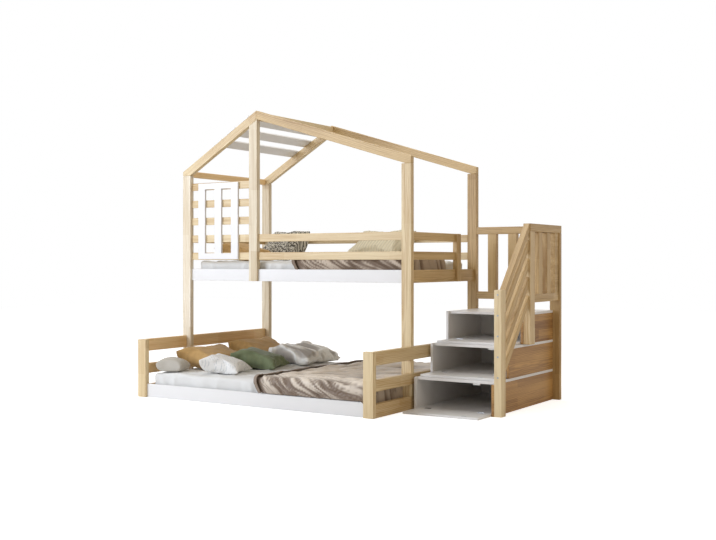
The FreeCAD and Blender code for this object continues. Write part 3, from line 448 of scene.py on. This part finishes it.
def islands(bm):
    """The separate solids of a mesh, as lists of points."""
    left = set(bm.verts)
    found = []
    for start in bm.verts:
        if start not in left:
            continue
        left.discard(start)
        group = [start]
        for vert in group:
            for edge in vert.link_edges:
                other = edge.other_vert(vert)
                if other in left:
                    left.discard(other)
                    group.append(other)
        found.append(group)
    return found


def cad_mesh(node):
    """A copy of a CAD node's mesh, closed along its edges."""
    bm = bmesh.new()
    bm.from_mesh(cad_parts[node].data)
    bmesh.ops.remove_doubles(bm, verts=bm.verts, dist=0.01 * MM)
    return bm


def placed(name, data):
    """A new object in the scene."""
    thing = bpy.data.objects.new(name, data)
    bpy.context.scene.collection.objects.link(thing)
    return thing


def object_from(bm, name):
    """A new object from an edited mesh, with no normals or materials left over from the frame."""
    mesh = bpy.data.meshes.new(name)
    bm.to_mesh(mesh)
    bm.free()
    for stale in ("custom_normal", "sharp_face"):
        if stale in mesh.attributes:
            mesh.attributes.remove(mesh.attributes[stale])
    mesh.materials.clear()
    return placed(name, mesh)


def settle(piece, finish_name, body, slot, *nodes):
    """Give a piece its finish and its body, and hide the CAD nodes that it stands for."""
    piece.data.materials.append(finish(finish_name))
    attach(piece, body)
    if nodes:
        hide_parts(*nodes)


def board_axes(group):
    """The direction along a board, across its widest face, and through it."""
    edges = {edge for vert in group for edge in vert.link_edges}
    # Among equals the one furthest right, back and up is taken, so that each run gives the same grain
    longest = max(edges, key=lambda edge: (
        round(edge.calc_length(), 5), *(edge.verts[0].co + edge.verts[1].co)))
    along = (longest.verts[1].co - longest.verts[0].co).normalized()
    if max(along, key=abs) < 0:
        along = -along
    faces = {face for vert in group for face in vert.link_faces}
    sides = [face for face in faces if abs(face.normal.dot(along)) < 0.2]
    widest = max(sides, key=lambda face: (round(face.calc_area(), 7), *face.calc_center_median()))
    through = widest.normal.copy()
    across = through.cross(along).normalized()
    return along, across, through


def boards(node, finish_name, slot, body, edge, seed):
    """Round the edges of a node's boards, and lay each board's grain along its own length."""
    bm = cad_mesh(node)
    # Triangles are joined back into whole faces
    bmesh.ops.dissolve_limit(bm, angle_limit=math.radians(0.5), verts=bm.verts, edges=bm.edges)
    random = np.random.default_rng(seed)
    along_layer = bm.verts.layers.float_vector.new("grain")
    tone_layer = bm.verts.layers.float.new("tone")
    mark = bm.verts.layers.int.new("board")
    frames = []
    for number, group in enumerate(islands(bm)):
        axes = board_axes(group)
        middle = sum((vert.co for vert in group), Vector()) / len(group)
        # Each board is cut from another part of the log: somewhere along it, and 30 to 90 mm from the pith
        start = Vector((random.uniform(-9, 9), random.uniform(0.03, 0.09), random.uniform(-0.05, 0.05)))
        frames.append((axes, middle, start, random.uniform(0, 1)))
        for vert in group:
            vert[mark] = number
    sharp = [e for e in bm.edges if len(e.link_faces) == 2 and e.calc_face_angle(0) > math.radians(12)]
    bmesh.ops.bevel(bm, geom=sharp, offset=edge, segments=2, profile=0.6, affect="EDGES", clamp_overlap=True)
    for face in bm.faces:
        face.smooth = True
    for vert in bm.verts:
        (along, across, through), middle, start, tone = frames[vert[mark]]
        offset = vert.co - middle
        vert[along_layer] = Vector((offset.dot(along), offset.dot(across), offset.dot(through))) + start
        vert[tone_layer] = tone
    bm.verts.layers.int.remove(mark)
    piece = object_from(bm, node + "_boards")
    piece.modifiers.new("flat_faces", "WEIGHTED_NORMAL")
    settle(piece, finish_name, body, slot, node)


def pine_boards(nodes, finish_name="pine"):
    for number, node in enumerate(nodes):
        boards(node, finish_name, "pine", MAIN_BODY, sizes().pine_edge, 100 + number + len(node))


def lacquered_boards(nodes, body=MAIN_BODY):
    for number, node in enumerate(nodes):
        boards(node, "lacquer", "white_lacquer", body, sizes().lacquer_edge, 300 + number)


def cad_finish(nodes, finish_name):
    """Small metal and plastic parts keep their CAD shape and get their real finish."""
    for node in nodes:
        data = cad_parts[node].data
        data.materials.clear()
        data.materials.append(finish(finish_name))


def perlin(points, scale, shift=0.0):
    """Smooth noise at each point, about -1 to 1, with features about 1/scale metres wide."""
    factors = np.array(scale, float)
    return np.array([noise.noise(Vector(p)) for p in points * factors + shift]) * 1.6


def points_of(mesh, what="co"):
    """The places of a mesh's points, or their normals."""
    data = np.zeros(len(mesh.vertices) * 3, np.float32)
    mesh.vertices.foreach_get(what, data)
    return data.reshape(-1, 3).astype(float)


def set_points(mesh, points):
    mesh.vertices.foreach_set("co", points.astype(np.float32).ravel())
    mesh.update()


def store(mesh, name, values):
    """Keep a number or a place for each point of a mesh, which its material reads by name."""
    kind, field = ("FLOAT", "value") if values.ndim == 1 else ("FLOAT_VECTOR", "vector")
    mesh.attributes.new(name, kind, "POINT").data.foreach_set(field, values.astype(np.float32).ravel())


def smooth(mesh):
    mesh.polygons.foreach_set("use_smooth", [True] * len(mesh.polygons))


def subdivide(piece):
    """One level of subdivision, applied."""
    modifier = piece.modifiers.new("finer", "SUBSURF")
    modifier.levels = modifier.render_levels = 1
    apply_modifiers(piece)


def apply_modifiers(piece):
    graph = bpy.context.evaluated_depsgraph_get()
    mesh = bpy.data.meshes.new_from_object(piece.evaluated_get(graph))
    piece.modifiers.clear()
    piece.data = mesh
    smooth(mesh)


def sheet_mesh(name, at, columns, rows):
    """A sheet of points that run from left to right and then row by row."""
    corner = np.arange(rows)[:, None] * (columns + 1) + np.arange(columns)[None, :]
    faces = np.stack([corner, corner + 1, corner + columns + 2, corner + columns + 1], -1).reshape(-1, 4)
    mesh = bpy.data.meshes.new(name)
    mesh.from_pydata(at.tolist(), [], faces.tolist())
    smooth(mesh)
    return placed(name, mesh)


def mattress(node, name, crease_seed):
    """A mattress in a fitted sheet: rounded rim, soft creases down its sides and a few across its top."""
    low, high = (np.array(c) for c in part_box(node))
    bm = bmesh.new()
    spans = high - low
    counts = [max(4, int(round(span / sizes().mesh_pitch))) for span in spans]
    points = {}

    def corner(*key):
        if key not in points:
            points[key] = bm.verts.new(low + np.array(key) / counts * spans)
        return points[key]

    for axis in range(3):
        u, v = [a for a in range(3) if a != axis]
        for end in (0, counts[axis]):
            for a in range(counts[u]):
                for b in range(counts[v]):
                    quad = []
                    for da, db in ((0, 0), (1, 0), (1, 1), (0, 1)):
                        key = [0, 0, 0]
                        key[axis], key[u], key[v] = end, a + da, b + db
                        quad.append(corner(*key))
                    bm.faces.new(quad)
    bmesh.ops.recalc_face_normals(bm, faces=bm.faces)
    piece = object_from(bm, name)
    mesh = piece.data
    rim = sizes().mattress_rim
    at = points_of(mesh)
    inner = np.clip(at, low + rim, high - rim)
    away = at - inner
    length = np.maximum(np.linalg.norm(away, axis=1, keepdims=True), TINY)
    at = inner + away / length * rim
    set_points(mesh, at)
    normal = points_of(mesh, "normal")
    side = 1 - np.abs(normal[:, 2])
    # Creases run up the sides every 120 mm or so, and longer ones cross the top
    side_crease = (1 - np.abs(perlin(at, (8.0, 8.0, 1.6), crease_seed))) ** 3
    fine = perlin(at, (17.0, 17.0, 3.0), crease_seed + 7)
    top_crease = (1 - np.abs(perlin(at, (3.2, 5.5, 1.0), crease_seed + 3))) ** 4
    # Heights in mm, less the most that they add up to, so that the sheet stays within the mattress's size
    push = side * (side_crease * 15.0 + fine * 3.0 - 13.0)
    push += (1 - side) * (top_crease * 11.0 + fine * 2.0 - 9.0) * (normal[:, 2] > 0)
    at = at + normal * (push * MM)[:, None]
    stand = 3 * MM
    set_points(mesh, np.clip(at, low - stand, high + stand))
    store(mesh, "cloth", np.stack([at[:, 0], at[:, 1] + at[:, 2], at[:, 2] * 0], 1))
    smooth(mesh)
    settle(piece, "sheet", MAIN_BODY, "white_cotton", node)


def solids_of(node):
    """The points of each solid of a CAD node, from left to right, then front to back."""
    bm = cad_mesh(node)
    found = [np.array([tuple(v.co) for v in group]) for group in islands(bm)]
    bm.free()
    return sorted(found, key=lambda p: (round(float(p[:, 0].mean()), 1), float(p[:, 1].mean())))


def pillow(name, solid, tilt, finish_name, seed, slack=0.05, crease=4.0):
    """A stuffed pillow in the place of its CAD solid, blown up by cloth simulation, flat where it rests."""
    lean, turn = (math.radians(a) for a in tilt)
    turned = np.array(Matrix.Rotation(turn, 3, "Z") @ Matrix.Rotation(lean, 3, "Y"))
    local = solid @ turned
    low, high = local.min(0), local.max(0)
    middle = (low + high) / 2
    half = (high - low) / 2
    columns, rows = (max(12, int(round(2 * h / PILLOW_PITCH))) for h in half[:2])
    random = np.random.default_rng(seed)
    bm = bmesh.new()
    sides = []
    for sign in (1, -1):
        grid = []
        for j in range(rows + 1):
            for i in range(columns + 1):
                x, y = 2 * i / columns - 1, 2 * j / rows - 1
                edge = i in (0, columns) or j in (0, rows)
                if edge and sign < 0:
                    grid.append(sides[0][len(grid)])
                    continue
                swell = ((1 - abs(x) ** 2.6) * (1 - abs(y) ** 2.6)) ** 0.55
                # The sides pull in by 7 % between the corners
                pull_x = 1 - 0.07 * (1 - abs(y) ** 2) * abs(x) ** 3
                pull_y = 1 - 0.07 * (1 - abs(x) ** 2) * abs(y) ** 3
                jitter = random.uniform(-0.3, 0.3) * MM
                # It starts 28 % slimmer than it ends, as it swells
                height = sign * swell * half[2] * 0.72 + jitter
                grid.append(bm.verts.new((x * half[0] * pull_x, y * half[1] * pull_y, height)))
        sides.append(grid)
    bm.verts.ensure_lookup_table()
    for number, grid in enumerate(sides):
        for j in range(rows):
            for i in range(columns):
                a = j * (columns + 1) + i
                quad = [grid[a], grid[a + 1], grid[a + columns + 2], grid[a + columns + 1]]
                bm.faces.new(quad if number == 0 else quad[::-1])
    piece = object_from(bm, name)
    mesh = piece.data
    start = points_of(mesh)
    store(mesh, "cloth", np.stack([start[:, 1], start[:, 0], start[:, 2] * 0], 1))
    blow_up(piece, start, slack)
    subdivide(piece)
    mesh = piece.data
    at = points_of(mesh)
    # The solver leaves the size free, so it is brought back to just under the CAD solid's own
    at = at * (half * 0.985 / np.abs(at).max(0))
    dent = perlin(at, (9.0, 9.0, 9.0), seed) * (1 - np.abs(at[:, 2:3] / half[2]) ** 2)[:, 0]
    fold = (1 - np.abs(perlin(at, (7.0, 12.0, 7.0), seed + 40))) ** 4
    normal = points_of(mesh, "normal")
    at = at + normal * ((dent * 2.0 + (fold - 0.35) * crease) * MM)[:, None]
    # Painted shade between creases: the raised crease lines stay light and the cloth between them is painted
    # darker; only the satin of the creased pillow reads it
    store(mesh, "crest", np.clip(0.3 + 1.8 * fold, 0, 1))
    at = np.clip(at, -half, half)
    world = (at + middle) @ turned.T
    floor = solid[:, 2].min() - 0.2 * MM
    # The underside sinks onto the bed, so that the pillow is propped by its own filling
    under = np.clip(-at[:, 2] / half[2], 0, 1)
    gap = world[:, 2] - floor
    world[:, 2] = floor + np.maximum(gap, 0) * (1 - 0.75 * np.sqrt(under))
    set_points(mesh, world)
    settle(piece, finish_name, MAIN_BODY, PILLOW_SLOTS[finish_name])
    return piece


def blow_up(piece, start, slack):
    """Inflate a sewn bag with the cloth solver, and keep its result."""
    scene = bpy.context.scene
    modifier = piece.modifiers.new("filling", "CLOTH")
    cloth = modifier.settings
    last_frame = 20
    cloth.quality = 5
    cloth.mass = 0.3
    cloth.tension_stiffness = cloth.compression_stiffness = 12
    cloth.shear_stiffness = 4
    cloth.bending_stiffness = 0.4
    cloth.use_pressure = True
    cloth.uniform_pressure_force = 4
    cloth.shrink_min = -slack
    cloth.effector_weights.gravity = 0
    modifier.collision_settings.use_self_collision = False
    modifier.point_cache.frame_start = 1
    modifier.point_cache.frame_end = last_frame
    for number in range(1, last_frame + 1):
        scene.frame_set(number)
    graph = bpy.context.evaluated_depsgraph_get()
    result = points_of(piece.evaluated_get(graph).data)
    piece.modifiers.clear()
    scene.frame_set(1)
    moved = result - start
    far = np.maximum(np.linalg.norm(moved, axis=1, keepdims=True), TINY)
    most = 28 * MM
    set_points(piece.data, start + moved * np.minimum(1, most / far))


def cover(node, under, name, finish_name, slot, seed, right_hem):
    """A cover in fanned folds that falls over the front edge and the right end of a mattress."""
    low, high = (np.array(c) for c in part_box(node))
    thick = sizes().cloth_thick
    # The folds stand up to 34 mm over the cloth's resting height
    rest = high[2] - 34 * MM
    hem = low[2] + 1 * MM
    front = low[1] + thick
    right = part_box(under)[1][0] + thick + 3 * MM
    bend = 22 * MM
    arc = bend * math.pi / 2
    # How far the cloth falls past the bend, in front and on the right
    fall_front = rest - bend - hem + arc
    fall_right = rest - bend - right_hem + arc
    path = fall_front + high[1] - front - bend
    # The left edge is turned under: the path starts at it, goes left, round the turn and then right
    turn, radius = 20 * MM, 9 * MM
    curl = turn + math.pi * radius
    level = right - bend - low[0] - radius
    width = curl + level + fall_right
    pitch = sizes().mesh_pitch * 0.6
    columns, rows = int(round(width / pitch)), int(round(path / pitch))
    share = np.array([(i / columns, j / rows) for j in range(rows + 1) for i in range(columns + 1)])
    across, along = (share * (width, path)).T

    angle = np.clip((across - turn) / radius, 0, math.pi)
    straight = np.clip(across - curl, 0, None)
    east = radius - radius * np.sin(angle) + np.clip(turn - across, 0, None) + np.minimum(straight, level)
    stand = radius + radius * np.cos(angle)
    # Past the bends the cloth hangs, and at the corner between them it is gathered like a fan
    past_right = np.clip(straight - level, 0, None)
    past_front = np.clip(fall_front - along, 0, None)
    past = np.hypot(past_right, past_front)
    side = np.where(past > 0, past_right / np.maximum(past, TINY), 0)
    ahead = np.where(past > 0, past_front / np.maximum(past, TINY), 0)
    border = np.minimum(fall_right / np.maximum(side, 1e-6), fall_front / np.maximum(ahead, 1e-6))
    most = fall_right * side ** 2 + fall_front * ahead ** 2
    past = past * np.where(past > 0, most / border, 1)
    bent = np.clip(past / bend, 0, math.pi / 2)
    reach = bend * np.sin(bent)
    outward = np.stack([side * np.sin(bent), -ahead * np.sin(bent), np.cos(bent)], 1)
    at = np.stack([
        low[0] + east + side * reach,
        front + bend + np.clip(along - fall_front, 0, None) - ahead * reach,
        rest - bend * (1 - np.cos(bent)) - np.clip(past - arc, 0, None)], 1)
    place = np.stack([east + past_right, along, 0 * east], 1)
    height = fold_height(place, fall_front, seed)
    # The turned edge bows out at the mattress's edge and slants to the right towards the back
    sweep = np.interp(along, (0, fall_front, 0.5, path), (45 * MM, -8 * MM, 10 * MM, 60 * MM))
    wander = sweep + perlin(place * (0, 1, 0), 3.5, seed + 5) * 22 * MM
    at[:, 0] += wander * np.clip(1 - east / 0.3, 0, 1)
    at += outward * (height + stand * (1 + 0.4 * perlin(place, 6.0, seed + 9)))[:, None]
    # The folds may stand proud to the left, in front and above, and hang below on the right
    at = np.clip(at, low - (26 * MM, 16 * MM, 80 * MM), high + (56 * MM, 0, 8 * MM))
    piece = sheet_mesh(name, at, columns, rows)
    store(piece.data, "cloth", np.stack([across, along, 0 * east], 1))

    # Painted shade of the cloth, from 0 in a shaded valley to 1 on a lit ridge
    valley, ridge = np.percentile(height, (18, 78))
    tone = np.clip((height - valley) / (ridge - valley), 0, 1)
    # The top catches more light than the fall in front
    from_fall_to_top = (fall_front, fall_front + 0.12)
    power = np.interp(along, from_fall_to_top, (3.0, 0.8))
    least = np.interp(along, from_fall_to_top, (0.0, 0.28))
    tone = least + (1 - least) * tone ** power
    # Folds are darkest near the hem, where they shade each other, and behind the end rails
    tone = tone * np.clip(0.35 + 0.65 * along / fall_front, 0, 1)
    tone = tone * (1 - 0.5 * np.clip(past_right / arc, 0, 1))
    # The turned-back strip is painted near the darkest tone, for its darker lining and as painted shade along
    # the turn
    on_top = np.clip((across - turn) / radius, 0, 1)
    tone = tone * on_top + 0.12 * (1 - on_top)
    store(piece.data, "crest", tone)
    modifier = piece.modifiers.new("thickness", "SOLIDIFY")
    modifier.thickness = thick
    modifier.offset = -1
    apply_modifiers(piece)
    subdivide(piece)
    settle(piece, finish_name, MAIN_BODY, slot, node)


def fan_folds(place, centre, counts, seed):
    """Ridges that fan out from a point of the cloth, with narrow valleys between broad crests."""
    away = place - centre
    reach = np.hypot(away[:, 0], away[:, 1])
    bearing = np.arctan2(away[:, 1], away[:, 0])
    height = np.zeros(len(place))
    for count, stretch, tall in zip(counts, (1.5, 3.0, 6.0), (20.0, 15.0, 7.0)):
        spots = np.stack([bearing * count, np.log(reach + 0.05) * stretch, 0 * reach + seed + count], 1)
        height += np.clip(np.abs(perlin(spots, 1.0)) * 1.8, 0, 1) ** 0.7 * tall * MM
    return height


def fold_height(place, drop, seed):
    """Height of the folds, which fan out from the left front corner on top and slant over the edge."""
    warp = np.stack([perlin(place, 3.1, seed), perlin(place, 3.1, seed + 30), 0 * place[:, 0]], 1) * 0.04
    on_top = fan_folds(place + warp, (-0.16, drop * 0.6, 0), (9.0, 19.0, 38.0), seed)
    over_edge = fan_folds(place + warp, (-0.30, drop + 0.34, 0), (21.0, 40.0, 72.0), seed + 70)
    back = np.clip((place[:, 1] - drop * 0.9) / 0.2, 0, 1)
    height = over_edge * (1 - back) + on_top * back
    return height * np.clip(place[:, 0] / 0.09, 0.35, 1)


PILLOW_SLOTS = {
    "brown": "brown_velvet",
    "green": "green_velvet",
    "stone": "pale_cotton",
    "creased": "pale_cotton",
    "print": "pale_cotton",
    "cream": "cream_knit",
    "fleck": "cream_knit",
}


# Operators, one for each group of pieces

class BUNKBED_OT_posts(bpy.types.Operator):
    """Pine posts of both beds"""

    bl_idname = "bunkbed.posts"
    bl_label = "Posts"

    def execute(self, context):
        pine_boards(("lower_front_posts", "tall_post_front_right"))
        # The left front post gets a paler copy of the pine, painted light
        pine_boards(("tall_post_front_left",), "key_lit_pine")
        # The middle and left back posts get a paler copy of the pine, painted light
        pine_boards(("middle_post", "tall_post_back_left"), "left_lit_pine")
        # The right back post and the entry post get a darker copy of the pine, painted shade
        pine_boards(("tall_post_back_right", "entry_post"), "in_shade_pine")
        return {"FINISHED"}


class BUNKBED_OT_rails(bpy.types.Operator):
    """Pine end rails, guard rails and window slats"""

    bl_idname = "bunkbed.rails"
    bl_label = "Rails and slats"

    def execute(self, context):
        pine_boards(("right_end_rails", "front_guard_rails", "back_guard_rails", "window_bay_slats"))
        # The upper end rails and end guard rails get a darker copy of the pine, painted shade
        pine_boards(("upper_end_rails", "end_guard_rails"), "in_shade_pine")
        # The left end rails get a warmer copy of the pine, painted light and shade
        pine_boards(("left_end_rails",), "fill_lit_pine")
        return {"FINISHED"}


class BUNKBED_OT_bed_bases(bpy.types.Operator):
    """Slats and supports under the mattresses"""

    bl_idname = "bunkbed.bed_bases"
    bl_label = "Bed bases"

    def execute(self, context):
        pine_boards(("lower_bed_slats", "upper_bed_slats", "slat_supports"))
        return {"FINISHED"}


class BUNKBED_OT_roof(bpy.types.Operator):
    """Rafters and beams of the house-shaped roof"""

    bl_idname = "bunkbed.roof"
    bl_label = "Roof"

    def execute(self, context):
        pine_boards(("rafter_front_left", "rafter_back_left", "ridge_beam"))
        # The eave beam gets a warmer copy of the pine, painted light and shade
        pine_boards(("eave_beam",), "fill_lit_pine")
        # The right rafters get a darker copy of the pine, painted shade
        pine_boards(("rafter_front_right", "rafter_back_right"), "in_shade_pine")
        return {"FINISHED"}


class BUNKBED_OT_stairs(bpy.types.Operator):
    """Pine wall, posts, handrail and railings of the staircase"""

    bl_idname = "bunkbed.stairs"
    bl_label = "Staircase pine"

    def execute(self, context):
        # The stepped wall gets the darkest copy of the pine, painted shade
        pine_boards(("stair_right_panels",), "full_shade_pine")
        pine_boards(("stair_spacers", "stair_newel", "stair_mid_post"))
        # The back post, handrail, diagonal boards and railings get a darker copy of the pine, painted shade
        pine_boards(("stair_back_post", "stair_handrail", "stair_diagonal_boards", "side_railing",
                     "back_railing"), "in_shade_pine")
        return {"FINISHED"}


class BUNKBED_OT_white_boards(bpy.types.Operator):
    """White side rails, window frame, roof slats and step boxes"""

    bl_idname = "bunkbed.white_boards"
    bl_label = "White boards"

    def execute(self, context):
        lacquered_boards(("lower_side_rails", "upper_front_rail", "upper_back_rail", "window_frame",
                          "roof_slats", "stair_left_panel", "stair_back_panel", "stair_treads",
                          "stair_bottom_panels"))
        return {"FINISHED"}


class BUNKBED_OT_drop_fronts(bpy.types.Operator):
    """Drop fronts of the step boxes"""

    bl_idname = "bunkbed.drop_fronts"
    bl_label = "Drop fronts"

    def execute(self, context):
        for number in (1, 2, 3):
            lacquered_boards((f"flap_{number}",), f"drop_front_{number}")
        return {"FINISHED"}


class BUNKBED_OT_fittings(bpy.types.Operator):
    """Hinges, strike plates, bolt heads and catches"""

    bl_idname = "bunkbed.fittings"
    bl_label = "Fittings"

    def execute(self, context):
        cad_finish(("hinge_fixed_leaves", "hinge_pins", "flap_1_fittings", "flap_2_fittings",
                    "flap_3_fittings", "newel_bolts"), "steel")
        cad_finish(("magnetic_catches",), "plastic")
        return {"FINISHED"}


class BUNKBED_OT_mattresses(bpy.types.Operator):
    """Both mattresses in white fitted sheets"""

    bl_idname = "bunkbed.mattresses"
    bl_label = "Mattresses"

    def execute(self, context):
        mattress("lower_mattress", "lower_mattress_sheet", 3.0)
        mattress("upper_mattress", "upper_mattress_sheet", 11.0)
        return {"FINISHED"}


class BUNKBED_OT_lower_pillows(bpy.types.Operator):
    """Brown, pale and green pillows of the lower bed"""

    bl_idname = "bunkbed.lower_pillows"
    bl_label = "Lower pillows"

    def execute(self, context):
        brown = solids_of("lower_brown_pillows")
        first = pillow("brown_pillow_front", brown[0], (18, 0), "brown", 21)
        pillow("brown_pillow_back", brown[1], (24, 0), "brown", 22)
        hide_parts("lower_brown_pillows")
        pale = solids_of("lower_pale_pillows")
        first = pillow("stone_roll", pale[0], (6, 20), "stone", 23)
        pillow("printed_pillow", pale[1], (16, 20), "print", 24)
        pillow("creased_pillow", pale[2], (14, 3), "creased", 25, slack=0.09, crease=16.0)
        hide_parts("lower_pale_pillows")
        green = solids_of("green_cushion")
        first = pillow("green_velvet_cushion", green[0], (16, 20), "green", 26, crease=7.0)
        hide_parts("green_cushion")
        return {"FINISHED"}


class BUNKBED_OT_upper_pillows(bpy.types.Operator):
    """Brown, flecked and cream pillows of the upper bed"""

    bl_idname = "bunkbed.upper_pillows"
    bl_label = "Upper pillows"

    def execute(self, context):
        solids = solids_of("upper_pillows")
        first = pillow("upper_brown_pillow", solids[0], (14, 0), "brown", 31)
        pillow("flecked_pillow", solids[1], (40, -90), "fleck", 32)
        pillow("cream_pillow", solids[2], (36, -90), "cream", 33)
        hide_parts("upper_pillows")
        return {"FINISHED"}


class BUNKBED_OT_covers(bpy.types.Operator):
    """Satin quilt below and blanket above"""

    bl_idname = "bunkbed.covers"
    bl_label = "Quilt and blanket"

    def execute(self, context):
        cover("lower_quilt", "lower_mattress", "satin_quilt", "taupe", "taupe_satin", 5, 0.05)
        cover("upper_blanket", "upper_mattress", "folded_blanket", "blanket", "taupe_blanket_cloth", 17,
              0.945)
        return {"FINISHED"}


class BUNKBED_OT_stage(bpy.types.Operator):
    """Pale floor, soft light and the camera"""

    bl_idname = "bunkbed.stage"
    bl_label = "Stage"

    def execute(self, context):
        scene = context.scene
        make_camera(scene)
        make_floor()
        make_world(scene)
        make_lamps()
        scene.view_settings.view_transform = "Standard"
        return {"FINISHED"}


def make_camera(scene):
    """Camera at the photograph's place; its shift keeps the upright posts upright."""
    data = bpy.data.cameras.new("Camera")
    data.sensor_width = 36
    data.lens = studio().lens
    # The photograph's frame isn't centred on the point that its camera faced
    data.shift_x = -0.0631
    data.shift_y = -0.0122
    camera = placed("Camera", data)
    camera.location = (4.2176, -6.1852, 1.0159)
    camera.rotation_euler = (math.pi / 2, 0, math.radians(31.125))
    scene.camera = camera


def make_floor():
    """Wide plain floor, white to the camera where nothing shades it."""
    reach = 14.0
    mesh = bpy.data.meshes.new("floor")
    mesh.from_pydata([(-reach, -reach, 0), (reach, -reach, 0), (reach, reach, 0), (-reach, reach, 0)], [],
                     [(0, 1, 2, 3)])
    floor = placed("floor", mesh)
    floor.location.z = -0.2 * MM
    material, tree = new_material("Matt_white_floor")
    matt = add(tree, "BsdfDiffuse", {"Color": linear("#F2F2F1")})
    # The camera sees some glow under the shading, so that open floor is white and shadows stay
    glow = add(tree, "Emission", {"Color": (1, 1, 1, 1), "Strength": 0.68})
    both = add(tree, "AddShader", {0: matt, 1: glow})
    seen = add(tree, "MixShader", {0: add(tree, "LightPath", None, "Is Camera Ray"), 1: matt, 2: both})
    add(tree, "OutputMaterial", {"Surface": seen})
    mesh.materials.append(material)


def make_world(scene):
    """Even room light; white behind the object and in its reflections."""
    world = bpy.data.worlds.new("Studio")
    world.use_nodes = True
    tree = world.node_tree
    tree.nodes.clear()
    camera, gloss, through = (
        add(tree, "LightPath", None, f"Is {ray} Ray") for ray in ("Camera", "Glossy", "Transmission"))
    either = add(tree, "Math", {0: camera, 1: gloss}, operation="ADD")
    seen = add(tree, "Math", {0: either, 1: through}, operation="ADD", use_clamp=True)
    room = add(tree, "Background", {"Color": linear("#FFF8F0"), "Strength": studio().sky})
    white = add(tree, "Background", {"Color": (1, 1, 1, 1), "Strength": 1.0})
    add(tree, "OutputWorld", {"Surface": add(tree, "MixShader", {0: seen, 1: room, 2: white})})
    scene.world = world


def lamp(name, place, target, power, across, colour):
    """One square soft lamp that faces a point."""
    data = bpy.data.lights.new(name, "AREA")
    data.energy = power
    data.size = across
    data.color = linear(colour)[:3]
    thing = placed(name, data)
    thing.location = place
    thing.rotation_euler = (Vector(target) - Vector(place)).to_track_quat("-Z", "Y").to_euler()


def make_lamps():
    """Large key lamp in front on the left, weak fill on the right, and one overhead."""
    middle = (0.0, 0.0, 0.8)
    lamp("key_lamp", (-3.7, -5.4, 2.6), middle, studio().key_power, 3.6, "#EAF1FF")
    lamp("fill_lamp", (6.5, -1.5, 2.6), middle, studio().fill_power, 3.0, "#FFE4C0")
    lamp("top_lamp", (-0.5, 0.6, 5.2), middle, studio().top_power, 3.5, "#FFFFFF")


class BUNKBED_PT_panel(bpy.types.Panel):
    """Lists the pieces of the bunk bed and the stage"""

    bl_idname = "BUNKBED_PT_panel"
    bl_label = "Bunk Bed"
    bl_space_type = "VIEW_3D"
    bl_region_type = "UI"
    bl_category = "Bunk Bed"

    def draw(self, context):
        for operator in OPERATORS:
            self.layout.operator(operator.bl_idname)
        for group in (sizes(), colours(), studio()):
            column = self.layout.column()
            for key in group.__annotations__:
                column.prop(group, key)


GROUPS = {"bunk_bed_sizes": BedSizes, "bunk_bed_colours": BedColours, "bunk_bed_studio": BedStudio}
OPERATORS = (
    BUNKBED_OT_stage,
    BUNKBED_OT_posts,
    BUNKBED_OT_rails,
    BUNKBED_OT_bed_bases,
    BUNKBED_OT_roof,
    BUNKBED_OT_stairs,
    BUNKBED_OT_white_boards,
    BUNKBED_OT_drop_fronts,
    BUNKBED_OT_fittings,
    BUNKBED_OT_mattresses,
    BUNKBED_OT_lower_pillows,
    BUNKBED_OT_upper_pillows,
    BUNKBED_OT_covers,
)
CLASSES = (*GROUPS.values(), *OPERATORS, BUNKBED_PT_panel)


def register():
    for thing in CLASSES:
        bpy.utils.register_class(thing)
    for key, group in GROUPS.items():
        setattr(bpy.types.Scene, key, bpy.props.PointerProperty(type=group))


def unregister():
    for key in GROUPS:
        delattr(bpy.types.Scene, key)
    for thing in reversed(CLASSES):
        bpy.utils.unregister_class(thing)


def main():
    """Build every piece in order."""
    register()
    for operator in OPERATORS:
        getattr(bpy.ops.bunkbed, operator.bl_idname.split(".")[1])()


if __name__ == "__main__":
    main()
